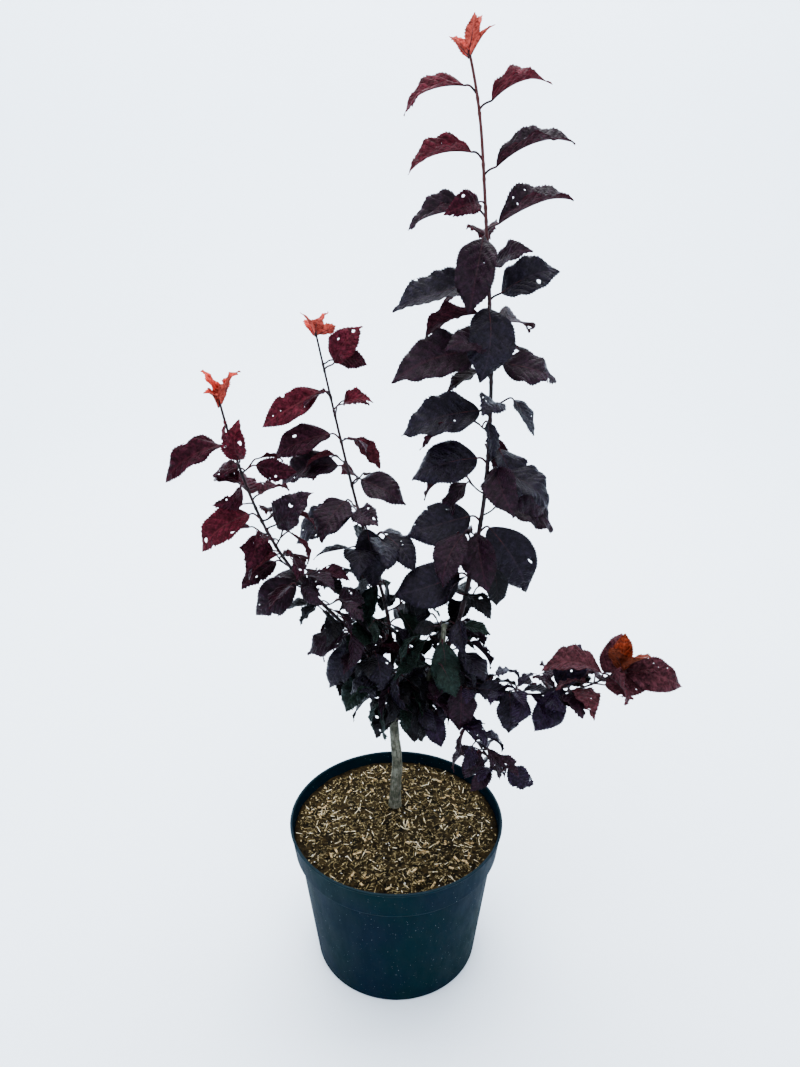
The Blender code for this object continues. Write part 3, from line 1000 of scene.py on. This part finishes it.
class Mass(NamedTuple):
    """A mass of foliage as read from the frame."""
    base: np.ndarray
    tip: np.ndarray
    upper_side: np.ndarray
    width: float
    fold: float
    arch: float
    place: int               # how far up its stem it leaves


def slot_of_mass(node):
    """The finish slot that the frame's own material names."""
    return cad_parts[node].data.materials[0].name.split(".")[0]


def read_mass(node, stem):
    """The pad's two poles are the points where most of its faces meet."""
    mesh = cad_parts[node].data
    points = np.empty(3 * len(mesh.vertices), np.float32)
    mesh.vertices.foreach_get("co", points)
    points = points.reshape(-1, 3).astype(float) / MM
    corners = np.empty(len(mesh.loops), np.int32)
    mesh.loops.foreach_get("vertex_index", corners)
    points, same = np.unique(np.round(points, 2), axis=0, return_inverse=True)
    meetings = np.bincount(same.ravel()[corners], minlength=len(points))
    poles = points[np.argsort(-meetings, kind="stable")[:2]]
    route = ROUTES[stem]
    near = [np.linalg.norm(route - pole, axis=1).min() for pole in poles]
    base, tip = poles if near[0] < near[1] else poles[::-1]
    along = (tip - base) / np.linalg.norm(tip - base)
    middle = points[np.abs((points - base) @ along / np.linalg.norm(tip - base) - 0.5) < 0.1]
    flat = middle - middle.mean(axis=0)
    flat = flat - np.outer(flat @ along, along)
    upper_side = np.linalg.svd(flat)[2][1]
    if upper_side.dot((0.0, -0.5, 0.85)) < 0:
        upper_side = -upper_side
    across = np.cross(upper_side, along)
    wide = np.ptp(flat @ across) / 2 - PAD_HALF
    deep = 2 * max(0.0, np.ptp(flat @ upper_side) / 2 - PAD_HALF)
    arch = float(((middle - base) @ upper_side).mean()) - deep / 2
    out = (tip - base) * (1, 1, 0)
    leaves_at = base - out / np.linalg.norm(out) * STALK - UPRIGHT * STALK_RISE
    place = int(np.argmin(np.linalg.norm(route - leaves_at, axis=1)))
    return Mass(base, tip, upper_side, 2 * math.hypot(wide, deep), math.degrees(math.atan2(deep, wide)),
                arch, place)


# %% How each stem is clothed
class Clothing(NamedTuple):
    """A stem's foliage. Every row of sizes is at equal steps from the stem's foot to its tip."""
    group: str               # the frame's name for its masses
    tuft: tuple              # young leaves at its tip: number, greatest length, width to length
    first: int               # how far up its first bud is
    spacing: tuple           # between buds
    spur: tuple              # length of a spur twig
    bearing: tuple           # leaves at a bud
    length: tuple            # of a leaf
    droop: tuple             # degrees below level
    tints: tuple
    worn: float              # how much insects have eaten
    lead: float = 1.0        # length of the leaf at a mass, as a share of the mass


CLOTHING = {
    "leader": Clothing(
        "leader", (6, 42, 0.34), 12, (20, 26, 32, 34, 40), (36, 26, 12, 4, 0),
        (3.0, 2.8, 2.2, 1.6, 0.4, 0.0),
        (54, 60, 62, 58, 42), (45, 40, 30, 10, -10),
        ("black", "slate", "black", "slate", "plum", "slate", "plum", "slate", "plum", "plum", "wine",
         "wine", "maroon", "maroon", "crimson"), 0.8),
    "centre_left": Clothing(
        "centre_left", (5, 38, 0.62), 8, (18, 20, 26, 36), (38, 30, 18, 6), (2.8, 3.2, 2.8, 1.4, 0.4),
        (52, 54, 54, 42), (45, 40, 20, 0),
        ("black", "slate", "green", "black", "slate", "plum", "wine", "wine", "maroon", "crimson"), 1.5),
    "far_left": Clothing(
        "far_left", (6, 37, 0.62), 8, (16, 18, 20, 30), (38, 28, 18, 8), (3.0, 3.4, 3.4, 2.6, 0.8),
        (48, 46, 42, 42, 34), (45, 40, 20, 0),
        ("green", "black", "slate", "plum", "black", "plum", "wine", "maroon", "maroon", "maroon",
         "crimson"), 2.2),
    "old_limb": Clothing(
        "heart", (0, 0, 0), 12, (15, 18), (44, 36, 18), (3.4, 3.0, 1.6), (50, 52, 46), (45, 35, 20),
        ("black", "green", "slate", "green", "black"), 1.1, 0.85),
    "low_right": Clothing(
        "low_right", (3, 50, 0.62), 8, (15, 17, 22), (36, 28, 14, 6, 0), (3.6, 3.6, 3.4, 2.4, 3.6),
        (50, 40, 34, 44, 70), (40, 20, 15, 5),
        ("black", "slate", "plum", "violet", "slate", "violet", "plum", "wine", "rose", "rose"), 1.4,
        0.95),
    "drooping": Clothing(
        "drooping", (0, 0, 0), 14, (14, 18, 14, 10), (22, 8, 4, 0), (3.0, 1.8, 2.4, 3.4), (42, 36, 40, 34),
        (40, 30, 35, 45),
        ("black", "plum", "violet", "plum", "violet"), 1.2, 0.66),
}
TUFTED = ("leader", "centre_left", "far_left")
SLOT_OF = {"coral": "foliage_coral", "rust": "foliage_crimson", "crimson": "foliage_crimson",
           "rose": "foliage_crimson", "maroon": "foliage_crimson", "green": "foliage_green"}


def slot_of(tint):
    return SLOT_OF.get(tint, "foliage_plum")


# %% Room for a leaf
SEED = 41
TRIES = 18
LEAF_GAP = 5.0              # between the middles of two leaves
WOOD_GAP = 4.5
SHARES = np.array([0.22, 0.4, 0.6, 0.8, 1.0])
# Leaves stay within the plant's own box, and clear of the compost
COMPOST_CLEAR = 200.0
LOWEST = np.array(cad_box[0]) / MM + (0.0, 0.0, COMPOST_CLEAR)
HIGHEST = np.array(cad_box[1]) / MM
dice = random.Random(SEED)
wood_spots = np.concatenate([route[::4] for route in ROUTES.values()])
leaf_spots = np.full((1, 3), -1000.0)
# Rows of spots towards the camera, which keep some of the grey wood in sight from the front
TRUNK_SHOWN = 130           # millimetres of bare trunk above the compost
STUB_START = 70             # and the old limb from here up
WINDOW_ROWS = 14
WINDOW_REACH = 0.15         # as a share of the way to the camera
WINDOW_GAP = 8.0
bare_wood = np.concatenate([ROUTES["trunk"][:TRUNK_SHOWN:6], ROUTES["old_limb"][STUB_START::6]])
to_camera = np.array(CAMERA_PLACE) / MM - bare_wood
window_spots = np.concatenate([bare_wood + to_camera * WINDOW_REACH * row / WINDOW_ROWS
                               for row in range(1, WINDOW_ROWS + 1)])


def samples_of(leaf):
    """Points over a leaf, to keep leaves apart."""
    along, up, across, length = leaf_frame(leaf.base, leaf.tip, leaf.upper_side)
    off_side, off_up = midrib_offsets(leaf, SHARES, length)
    middle = (leaf.base + np.outer(SHARES * length, along) + np.outer(off_side, across)
              + np.outer(off_up, up))
    half = leaf_half(SHARES, leaf.width)[:, None] * 0.7 * across
    return np.concatenate([middle, middle + half, middle - half])


def nearest(spots, others):
    return np.linalg.norm(spots[:, None] - others[None], axis=2).min()


def room_for(leaf):
    """How far a leaf is from wood and from other leaves, as a share of the gaps to be kept."""
    spots = samples_of(leaf)
    if (spots <= LOWEST).any() or (spots >= HIGHEST).any():
        return 0.0
    return min(nearest(spots, wood_spots) / WOOD_GAP, nearest(spots, leaf_spots) / LEAF_GAP,
               nearest(spots, window_spots) / WINDOW_GAP)


def keep(leaf):
    global leaf_spots
    leaf_spots = np.concatenate([leaf_spots, samples_of(leaf)])


# %% Branching rule
GOLDEN_ANGLE = 137.5


class Sprig(NamedTuple):
    """A leaf, and the place and direction of the wood that its stalk springs from."""
    point: np.ndarray
    direction: np.ndarray
    leaf: Leaf


def tint_at(tints, share, slot=None):
    """A tint from the run up a stem, a little shuffled, and of one slot if that is given."""
    place = share * (len(tints) - 1) + dice.uniform(-0.9, 0.9)
    if slot:
        tints = [tint for tint in tints if slot_of(tint) == slot] or ["plum"]
        place = share * (len(tints) - 1) + dice.uniform(-0.5, 0.5)
    return tints[min(max(round(place), 0), len(tints) - 1)]


def hanging_leaf(base, heading, length, droop, roll, tint, worn, broad=0.0):
    """A leaf that hangs by its own weight: its upper side turns up and outward, then rolls a little."""
    level = compass(heading)
    tilt = math.radians(droop)
    along = level * math.cos(tilt) - UPRIGHT * math.sin(tilt)
    across = np.cross(UPRIGHT, level)
    up = np.cross(along, across)
    turn = math.radians(roll)
    upper_side = up * math.cos(turn) + across * math.sin(turn)
    width = length * (dice.uniform(0.52, 0.68) + broad)
    return Leaf(base, base + along * length, upper_side, width, dice.uniform(8, 32),
                length * dice.uniform(0.02, 0.14), tint, worn, dice.uniform(-0.07, 0.07),
                dice.gauss(0, 16), dice.uniform(0.02, 0.14))


def deal_leaf(point, direction, heading, stem, share):
    """A sprig with the first leaf that has room, the roomiest of several deals, or none."""
    clothing = CLOTHING[stem]
    best, most_room = None, 0.5
    for deal in range(TRIES):
        turned = heading + dice.gauss(0, 12 + 3 * deal)
        base = point + compass(turned) * dice.uniform(7, 14) + UPRIGHT * dice.uniform(-1, 8)
        length = profile_at(clothing.length, share) * dice.uniform(0.7, 1.2)
        droop = min(max(profile_at(clothing.droop, share) + dice.gauss(0, 20), -65), 80)
        leaf = hanging_leaf(base, turned, length, droop, dice.gauss(0, 36),
                            tint_at(clothing.tints, share), clothing.worn, 0.10 * (1 - share))
        room = room_for(leaf)
        if room > most_room:
            best, most_room = leaf, room
        if room >= 1.0:
            break
    if best is None:
        return []
    keep(best)
    return [Sprig(point, direction, best)]


def grow_spur(foot, heading, reach):
    """A short side twig: it leaves the stem nearly level and turns up as it grows."""
    steps = max(2, round(reach))
    route = [foot]
    for step in range(steps):
        lean = math.radians(78 - 45 * step / steps)
        route.append(route[-1] + compass(heading) * math.sin(lean) + UPRIGHT * math.cos(lean))
    return np.array(route)


def grow_tuft(stem, count, longest, breadth):
    """Young leaves that stand up round a shoot's tip."""
    tip, direction = stem_point(stem, len(ROUTES[stem]))
    first = dice.uniform(0, 360)
    tint = "coral" if stem in TUFTED else "rust"
    for index in range(count):
        heading = first + GOLDEN_ANGLE * index
        length = longest * dice.uniform(0.55, 1.0)
        base = tip + compass(heading) * 1.6 + UPRIGHT * (2.0 - 1.6 * index)
        leaf = hanging_leaf(base, heading, length, -dice.uniform(24, 76), dice.gauss(0, 20), tint, 0)
        yield Sprig(tip - 2 * direction, direction, leaf._replace(
            width=length * breadth * dice.uniform(0.81, 1.19), fold=dice.uniform(10, 36), arch=1.0))


def masses_of(stem):
    return sorted(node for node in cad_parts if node.startswith(CLOTHING[stem].group + "_foliage"))


def grow_masses(stem):
    """The tuft and one large leaf for each mass, with the places of their buds."""
    clothing = CLOTHING[stem]
    nodes = masses_of(stem)
    sprigs = list(grow_tuft(stem, *clothing.tuft))
    places = []
    for node in nodes[1:] if stem in TUFTED else nodes:
        mass = read_mass(node, stem)
        share = mass.place / LIMBS[stem].length
        tip = mass.base + clothing.lead * (mass.tip - mass.base)
        length = np.linalg.norm(tip - mass.base)
        tint = tint_at(clothing.tints, share, slot_of_mass(node))
        leaf = Leaf(mass.base, tip, mass.upper_side, min(mass.width, 0.68 * length), mass.fold,
                    mass.arch * clothing.lead, tint, clothing.worn, dice.uniform(-0.08, 0.08),
                    dice.gauss(0, 18), dice.uniform(0.02, 0.13))
        sprigs.append(Sprig(*stem_point(stem, mass.place), leaf))
        places.append(mass.place)
    for sprig in sprigs:
        keep(sprig.leaf)
    return sprigs, places


def grow_buds(stem):
    """Spurs and single leaves between the masses, with the places of their buds."""
    global wood_spots
    clothing = CLOTHING[stem]
    sprigs, places, spurs = [], [], []
    up = clothing.first
    heading = dice.uniform(0, 360)
    while up < LIMBS[stem].length - 6:
        share = up / LIMBS[stem].length
        count = int(profile_at(clothing.bearing, share) + dice.random())
        reach = profile_at(clothing.spur, share) * dice.uniform(0.6, 1.2)
        foot, direction = stem_point(stem, up)
        grown = []
        if count and reach > 8:
            spur = grow_spur(foot, heading, reach)
            for index in range(count):
                place = max(4, round((len(spur) - 2) * (1 - 0.3 * index)))
                turned = heading + (0 if index == 0 else dice.choice((-1, 1)) * dice.uniform(45, 110))
                grown += deal_leaf(spur[place], spur[place + 1] - spur[place], turned, stem, share)
            if grown:
                spurs.append(spur)
                wood_spots = np.concatenate([wood_spots, spur[8::4]])
        else:
            for index in range(count):
                grown += deal_leaf(foot, direction, heading + 150 * index, stem, share)
        if grown:
            sprigs += grown
            places.append(up)
        heading += GOLDEN_ANGLE
        up += profile_at(clothing.spacing, share) * dice.uniform(0.8, 1.2)
    return sprigs, places, spurs


# %% Grow all the foliage
SPRIGS, BUDS, SPURS = {}, {}, {}
for stem in CLOTHING:
    SPRIGS[stem], BUDS[stem] = grow_masses(stem)
for stem in CLOTHING:
    sprigs, places, SPURS[stem] = grow_buds(stem)
    SPRIGS[stem] += sprigs
    BUDS[stem] += places
    print(stem, "bears", len(SPRIGS[stem]), "leaves, on", len(SPURS[stem]), "spurs and on itself")
print(sum(len(sprigs) for sprigs in SPRIGS.values()), "leaves in all")

# %% Leaf pieces, one for each stem and finish slot
def leaf_piece(name, gather):
    """A piece that carries only the leaf materials it uses."""
    used = sorted(set(gather.material_of))
    gather.material_of = [used.index(index) for index in gather.material_of]
    return gather.piece(name, [leaf_materials[index] for index in used])


for stem, sprigs in SPRIGS.items():
    gathers = {}
    for sprig in sprigs:
        make_leaf(gathers.setdefault(slot_of(sprig.leaf.tint), Gather()), sprig.leaf, dice)
    for slot, gather in gathers.items():
        nodes = [node for node in masses_of(stem) if slot_of_mass(node) == slot]
        register(leaf_piece(f"{stem}_{slot.removeprefix('foliage_')}_leaves", gather), slot, *nodes)


# %% Stalks, midribs and spur twigs
STALK_DARK, STALK_RED = (0.012, 0.0050, 0.0075), (0.050, 0.0120, 0.0160)
STALK_LEAST = 0.60          # a stalk's radius, to which a share of its leaf's width is added
RIB_SUNK = 0.3              # how deep the midrib lies in the leaf
TWIG_RADII = (1.25, 0.8)


def make_stalk_finish():
    finish = Finish("leaf_stalk")
    patches = finish.noise(finish.coordinates(), 150.0, 2.0)
    colour = finish.mix(finish.spread(patches, 0.35, 0.7), STALK_DARK, STALK_RED)
    finish.set(Base_Color=colour, Roughness=0.45, Specular_IOR_Level=0.2)
    finish.bump(patches, 0.2, 0.0003)
    return finish.material


def add_stalk(gather, sprig):
    """A stalk that leaves the wood along it and bends out, and runs on as the leaf's midrib."""
    leaf = sprig.leaf
    along, above, across, length = leaf_frame(leaf.base, leaf.tip, leaf.upper_side)
    out = leaf.base - sprig.point
    reach = np.linalg.norm(out)
    leave = out / max(reach, 1e-6) + 0.7 * sprig.direction
    leave /= np.linalg.norm(leave)
    ends = (sprig.point, sprig.point + leave * reach * 0.45, leaf.base - along * reach * 0.35, leaf.base)
    steps = np.linspace(0.0, 1.0, 9)[:, None]
    stalk = ((1 - steps) ** 3 * ends[0] + 3 * steps * (1 - steps) ** 2 * ends[1]
             + 3 * steps ** 2 * (1 - steps) * ends[2] + steps ** 3 * ends[3])
    shares = np.linspace(0.04, 0.66, 10)
    off_side, off_up = midrib_offsets(leaf, shares, length)
    rib = (leaf.base + np.outer(shares * length, along) + np.outer(off_side, across)
           + np.outer(off_up - RIB_SUNK, above))
    thick = STALK_LEAST + leaf.width / 90
    radii = np.concatenate([np.linspace(thick * 1.15, thick, len(stalk)),
                            np.linspace(thick * 0.7, 0.2, len(rib))])
    gather.add(*tube(np.concatenate([stalk, rib]), radii, 6))


stalks = Gather()
twigs = Gather()
for stem in CLOTHING:
    for sprig in SPRIGS[stem]:
        add_stalk(stalks, sprig)
    for spur in SPURS[stem]:
        route = np.concatenate([spur[:-1:3], spur[-1:]])
        twigs.add(*tube(route, np.linspace(*TWIG_RADII, len(route)), 8))
register(stalks.piece("leaf_stalks", [make_stalk_finish()]), "purple_bark")
register(twigs.piece("spur_twigs", [purple_bark]), "purple_bark")

# %% Young shoots
LEAD_IN = 12                # a shoot starts this far back inside the stem that carries it
BUD_SWELL = 0.42            # how far a bud stands out
BUD_SPAN = 2.0              # and over what length
BUDS_MOST = 0.55            # where buds crowd together
COLLAR = 0.9                # the thickening at a shoot's foot
COLLAR_SPAN = 5.0
SHOOT_NODES = {"leader": "leader_stem", "centre_left": "centre_left_stem", "far_left": "far_left_stem",
               "low_right": "low_right_stem", "drooping": "drooping_twig"}


def shoot_route(stem):
    """A shoot's route with a short bend out of the wood that carries it."""
    limb = LIMBS[stem]
    start = ROUTES[limb.carrier][limb.along - LEAD_IN]
    foot = ROUTES[stem][0]
    pull = foot - (ROUTES[stem][1] - foot) * LEAD_IN * 0.5
    steps = np.linspace(0.0, 1.0, LEAD_IN, endpoint=False)[:, None]
    bend = (1 - steps) ** 2 * start + 2 * steps * (1 - steps) * pull + steps ** 2 * foot
    return softened(np.concatenate([bend, ROUTES[stem]]), 3)


def make_shoot(stem, node):
    places = sorted({place + LEAD_IN for place in BUDS[stem]})

    def relief(angle, length):
        swell = sum(BUD_SWELL * math.exp(-((length - place) / BUD_SPAN) ** 2) for place in places)
        collar = COLLAR * math.exp(-((length - LEAD_IN) / COLLAR_SPAN) ** 2) if stem != "drooping" else 0.0
        return min(swell, BUDS_MOST) + collar + 0.10 * bark_noise(angle, length, 2, 0.3)

    route = shoot_route(stem)
    radii = [stem_radius(stem, max(0, index - LEAD_IN)) for index in range(len(route))]
    wood = Gather()
    wood.add(*tube(route, radii, 12, relief))
    register(wood.piece(f"{stem}_shoot", [purple_bark]), "purple_bark", node)


for stem, node in SHOOT_NODES.items():
    make_shoot(stem, node)

# %% [markdown]
# ## Compost
# Potting compost is a rough brown bed of short wood fibres, with pale slivers and a few white grains on
# top. The bed is a disc with a lumpy surface. The fibres are scattered over it by Geometry Nodes: one
# small bar, thrown down thousands of times with its own turn, length and lean, in five kinds: fibres,
# crumbs, slivers, chips and grains.

# %% Compost bed
BED_RINGS = 46
BED_TURNS = 140
BED_EDGE = 134.2
BED_SIDE = (124.0, 160.0)   # radius and height where the bed's side bends in along the pot
BED_BASE = (105.5, 3.0)     # and of its flat underside
COMPOST_TOP = 193.6
LEVEL_TO = 88.0             # it is level out to here, and then falls
FALL_WIDTH = 46.0
FALL = 1.5
LUMP = 1.6
CRUMB = 1.0
# BED_DARK is near black: partly the compost's own dark brown, partly painted shade in the gaps between the
# fibres
BED_DARK, BED_BROWN = (0.003, 0.0022, 0.0013), (0.045, 0.030, 0.012)


def bed_height(x, y):
    """The compost's surface: level in the middle, lower at the wall, lumpy all over."""
    radius = math.hypot(x, y)
    fall = FALL * min(1.0, max(0.0, (radius - LEVEL_TO) / FALL_WIDTH)) ** 1.3
    lumps = LUMP * noise.noise(Vector((x * 0.045, y * 0.045, 3.0)))
    crumbs = CRUMB * noise.noise(Vector((x * 0.22, y * 0.22, 9.0)))
    return COMPOST_TOP - fall + lumps + crumbs


def make_bed():
    finish = Finish("compost_bed")
    place = finish.coordinates()
    lumps = finish.noise(place, 120.0, 6.0, 0.7)
    colour = finish.mix(finish.spread(lumps, 0.35, 0.7), BED_DARK, BED_BROWN)
    finish.set(Base_Color=colour, Roughness=0.95, Specular_IOR_Level=0.1)
    finish.bump(lumps, 0.9, 0.004)
    points = [(0.0, 0.0, bed_height(0.0, 0.0))]
    for ring in range(1, BED_RINGS + 1):
        level = circle(BED_EDGE * ring / BED_RINGS, 0.0, BED_TURNS)
        points += [(x, y, bed_height(x, y)) for x, y, _ in level]
    points += circle(*BED_SIDE, BED_TURNS) + circle(*BED_BASE, BED_TURNS)
    faces = [(0, 1 + turn, 1 + (turn + 1) % BED_TURNS) for turn in range(BED_TURNS)]
    for ring in range(BED_RINGS + 1):
        low = 1 + ring * BED_TURNS
        high = low + BED_TURNS
        for turn in range(BED_TURNS):
            ahead = (turn + 1) % BED_TURNS
            faces.append((low + turn, high + turn, high + ahead, low + ahead))
    faces.append(tuple(reversed(range(high, high + BED_TURNS))))
    return new_piece("compost_bed", points, faces, [finish.material])


bed = make_bed()
register(bed, "compost", "compost")


# %% Fibres by Geometry Nodes
def make_scatter_tree(name):
    """Bars scattered over the upper faces of a mesh: count, length, width, lean and seed as inputs."""
    tree = bpy.data.node_groups.new(name, "GeometryNodeTree")
    kinds = {"Geometry": "NodeSocketGeometry", "Seed": "NodeSocketInt", "Finish": "NodeSocketMaterial"}
    inputs = {}
    for label in ("Geometry", "Density", "Shortest", "Longest", "Width", "Lean", "Furthest", "Seed",
                  "Finish"):
        kind = kinds.get(label, "NodeSocketFloat")
        inputs[label] = tree.interface.new_socket(label, in_out="INPUT", socket_type=kind).identifier
    tree.interface.new_socket("Geometry", in_out="OUTPUT", socket_type="NodeSocketGeometry")

    def node(kind, feeds, **settings):
        """A node's outputs. Each of its inputs is fed by a socket or set to a plain value."""
        made = tree.nodes.new(kind)
        for key, value in settings.items():
            setattr(made, key, value)
        for key, value in feeds.items():
            if isinstance(value, bpy.types.NodeSocket):
                tree.links.new(value, made.inputs[key])
            else:
                made.inputs[key].default_value = value
        return made.outputs

    source = node("NodeGroupInput", {})
    seed, width, lean = source["Seed"], source["Width"], source["Lean"]

    # Only faces that look up, and lie near enough to the middle, take a bar
    slope = node("ShaderNodeSeparateXYZ", {"Vector": node("GeometryNodeInputNormal", {})["Normal"]})["Z"]
    upward = node("FunctionNodeCompare", {"A": slope, "B": 0.3}, operation="GREATER_THAN")["Result"]
    place = node("GeometryNodeInputPosition", {})["Position"]
    level = node("ShaderNodeVectorMath", {0: place, 1: (1.0, 1.0, 0.0)}, operation="MULTIPLY")["Vector"]
    radius = node("ShaderNodeVectorMath", {0: level}, operation="LENGTH")["Value"]
    within = node("FunctionNodeCompare", {"A": radius, "B": source["Furthest"]}, operation="LESS_THAN")
    both = node("FunctionNodeBooleanMath", {0: upward, 1: within["Result"]}, operation="AND")["Boolean"]
    points = node("GeometryNodeDistributePointsOnFaces", {
        "Mesh": source["Geometry"], "Density": source["Density"], "Seed": seed,
        "Selection": both})["Points"]

    # Each bar has its own turn and lean, and its own length
    back = node("ShaderNodeMath", {0: lean, 1: -1.0}, operation="MULTIPLY")[0]
    least = node("ShaderNodeCombineXYZ", {"X": back, "Y": back})[0]
    most = node("ShaderNodeCombineXYZ", {"X": lean, "Y": lean, "Z": math.tau})[0]
    turn = node("FunctionNodeRandomValue", {"Min": least, "Max": most, "Seed": seed},
                data_type="FLOAT_VECTOR")["Value"]
    length = node("FunctionNodeRandomValue", {2: source["Shortest"], 3: source["Longest"], "Seed": seed})[1]
    thick = node("ShaderNodeMath", {0: width, 1: 0.5}, operation="MULTIPLY")[0]
    size = node("ShaderNodeCombineXYZ", {"X": length, "Y": width, "Z": thick})[0]
    bar = node("GeometryNodeMeshCube", {"Size": (1.0, 1.0, 1.0)})["Mesh"]
    bars = node("GeometryNodeInstanceOnPoints", {
        "Points": points, "Instance": bar, "Rotation": turn, "Scale": size})["Instances"]
    solid = node("GeometryNodeRealizeInstances", {"Geometry": bars})["Geometry"]
    painted = node("GeometryNodeSetMaterial", {"Geometry": solid, "Material": source["Finish"]})["Geometry"]
    node("NodeGroupOutput", {"Geometry": painted})
    return tree, inputs


def plain_finish(name, one, other, scale, roughness):
    """Two close colours in small patches, for fibres and grains."""
    finish = Finish(name)
    patches = finish.noise(finish.coordinates(), scale, 3.0)
    finish.set(Base_Color=finish.mix(finish.spread(patches, 0.3, 0.7), one, other), Roughness=roughness,
               Specular_IOR_Level=0.12)
    finish.bump(patches, 0.4, 0.0005)
    return finish.material


scatter_tree, scatter_inputs = make_scatter_tree("compost_scatter")
# Name: density, shortest, longest, width, lean, furthest from the middle, seed, dark and light colour
SCATTERS = {
    "compost_fibre": (46000, 2.0, 12.0, 1.0, 0.9, 128, 3, (0.010, 0.0080, 0.0038), (0.27, 0.210, 0.106)),
    "compost_crumbs": (13000, 1.2, 3.6, 1.9, 1.2, 129, 21, (0.024, 0.019, 0.009), (0.50, 0.400, 0.230)),
    "compost_slivers": (4300, 3.0, 22.0, 0.9, 0.5, 124, 5, (0.30, 0.22, 0.11), (0.92, 0.82, 0.62)),
    "compost_chips": (1300, 5.0, 13.0, 2.6, 0.4, 122, 12, (0.16, 0.10, 0.04), (0.60, 0.45, 0.26)),
    "compost_grains": (1100, 1.0, 2.4, 1.6, 1.2, 128, 8, (0.66, 0.62, 0.56), (0.84, 0.82, 0.78)),
}
for name, (density, shortest, longest, width, lean, furthest, seed, dark, light) in SCATTERS.items():
    holder = bpy.data.objects.new(name, bed.data.copy())
    bpy.context.scene.collection.objects.link(holder)
    scatter = holder.modifiers.new("scatter", "NODES")
    scatter.node_group = scatter_tree
    values = {"Density": float(density), "Shortest": shortest * MM, "Longest": longest * MM,
              "Width": width * MM, "Lean": lean, "Furthest": furthest * MM, "Seed": seed,
              "Finish": plain_finish(name, dark, light, 260.0, 0.9)}
    for label, value in values.items():
        scatter[scatter_inputs[label]] = value
    evaluated = holder.evaluated_get(bpy.context.evaluated_depsgraph_get())
    made = bpy.data.meshes.new_from_object(evaluated)
    holder.modifiers.remove(scatter)
    holder.data = made
    register(holder, "compost")
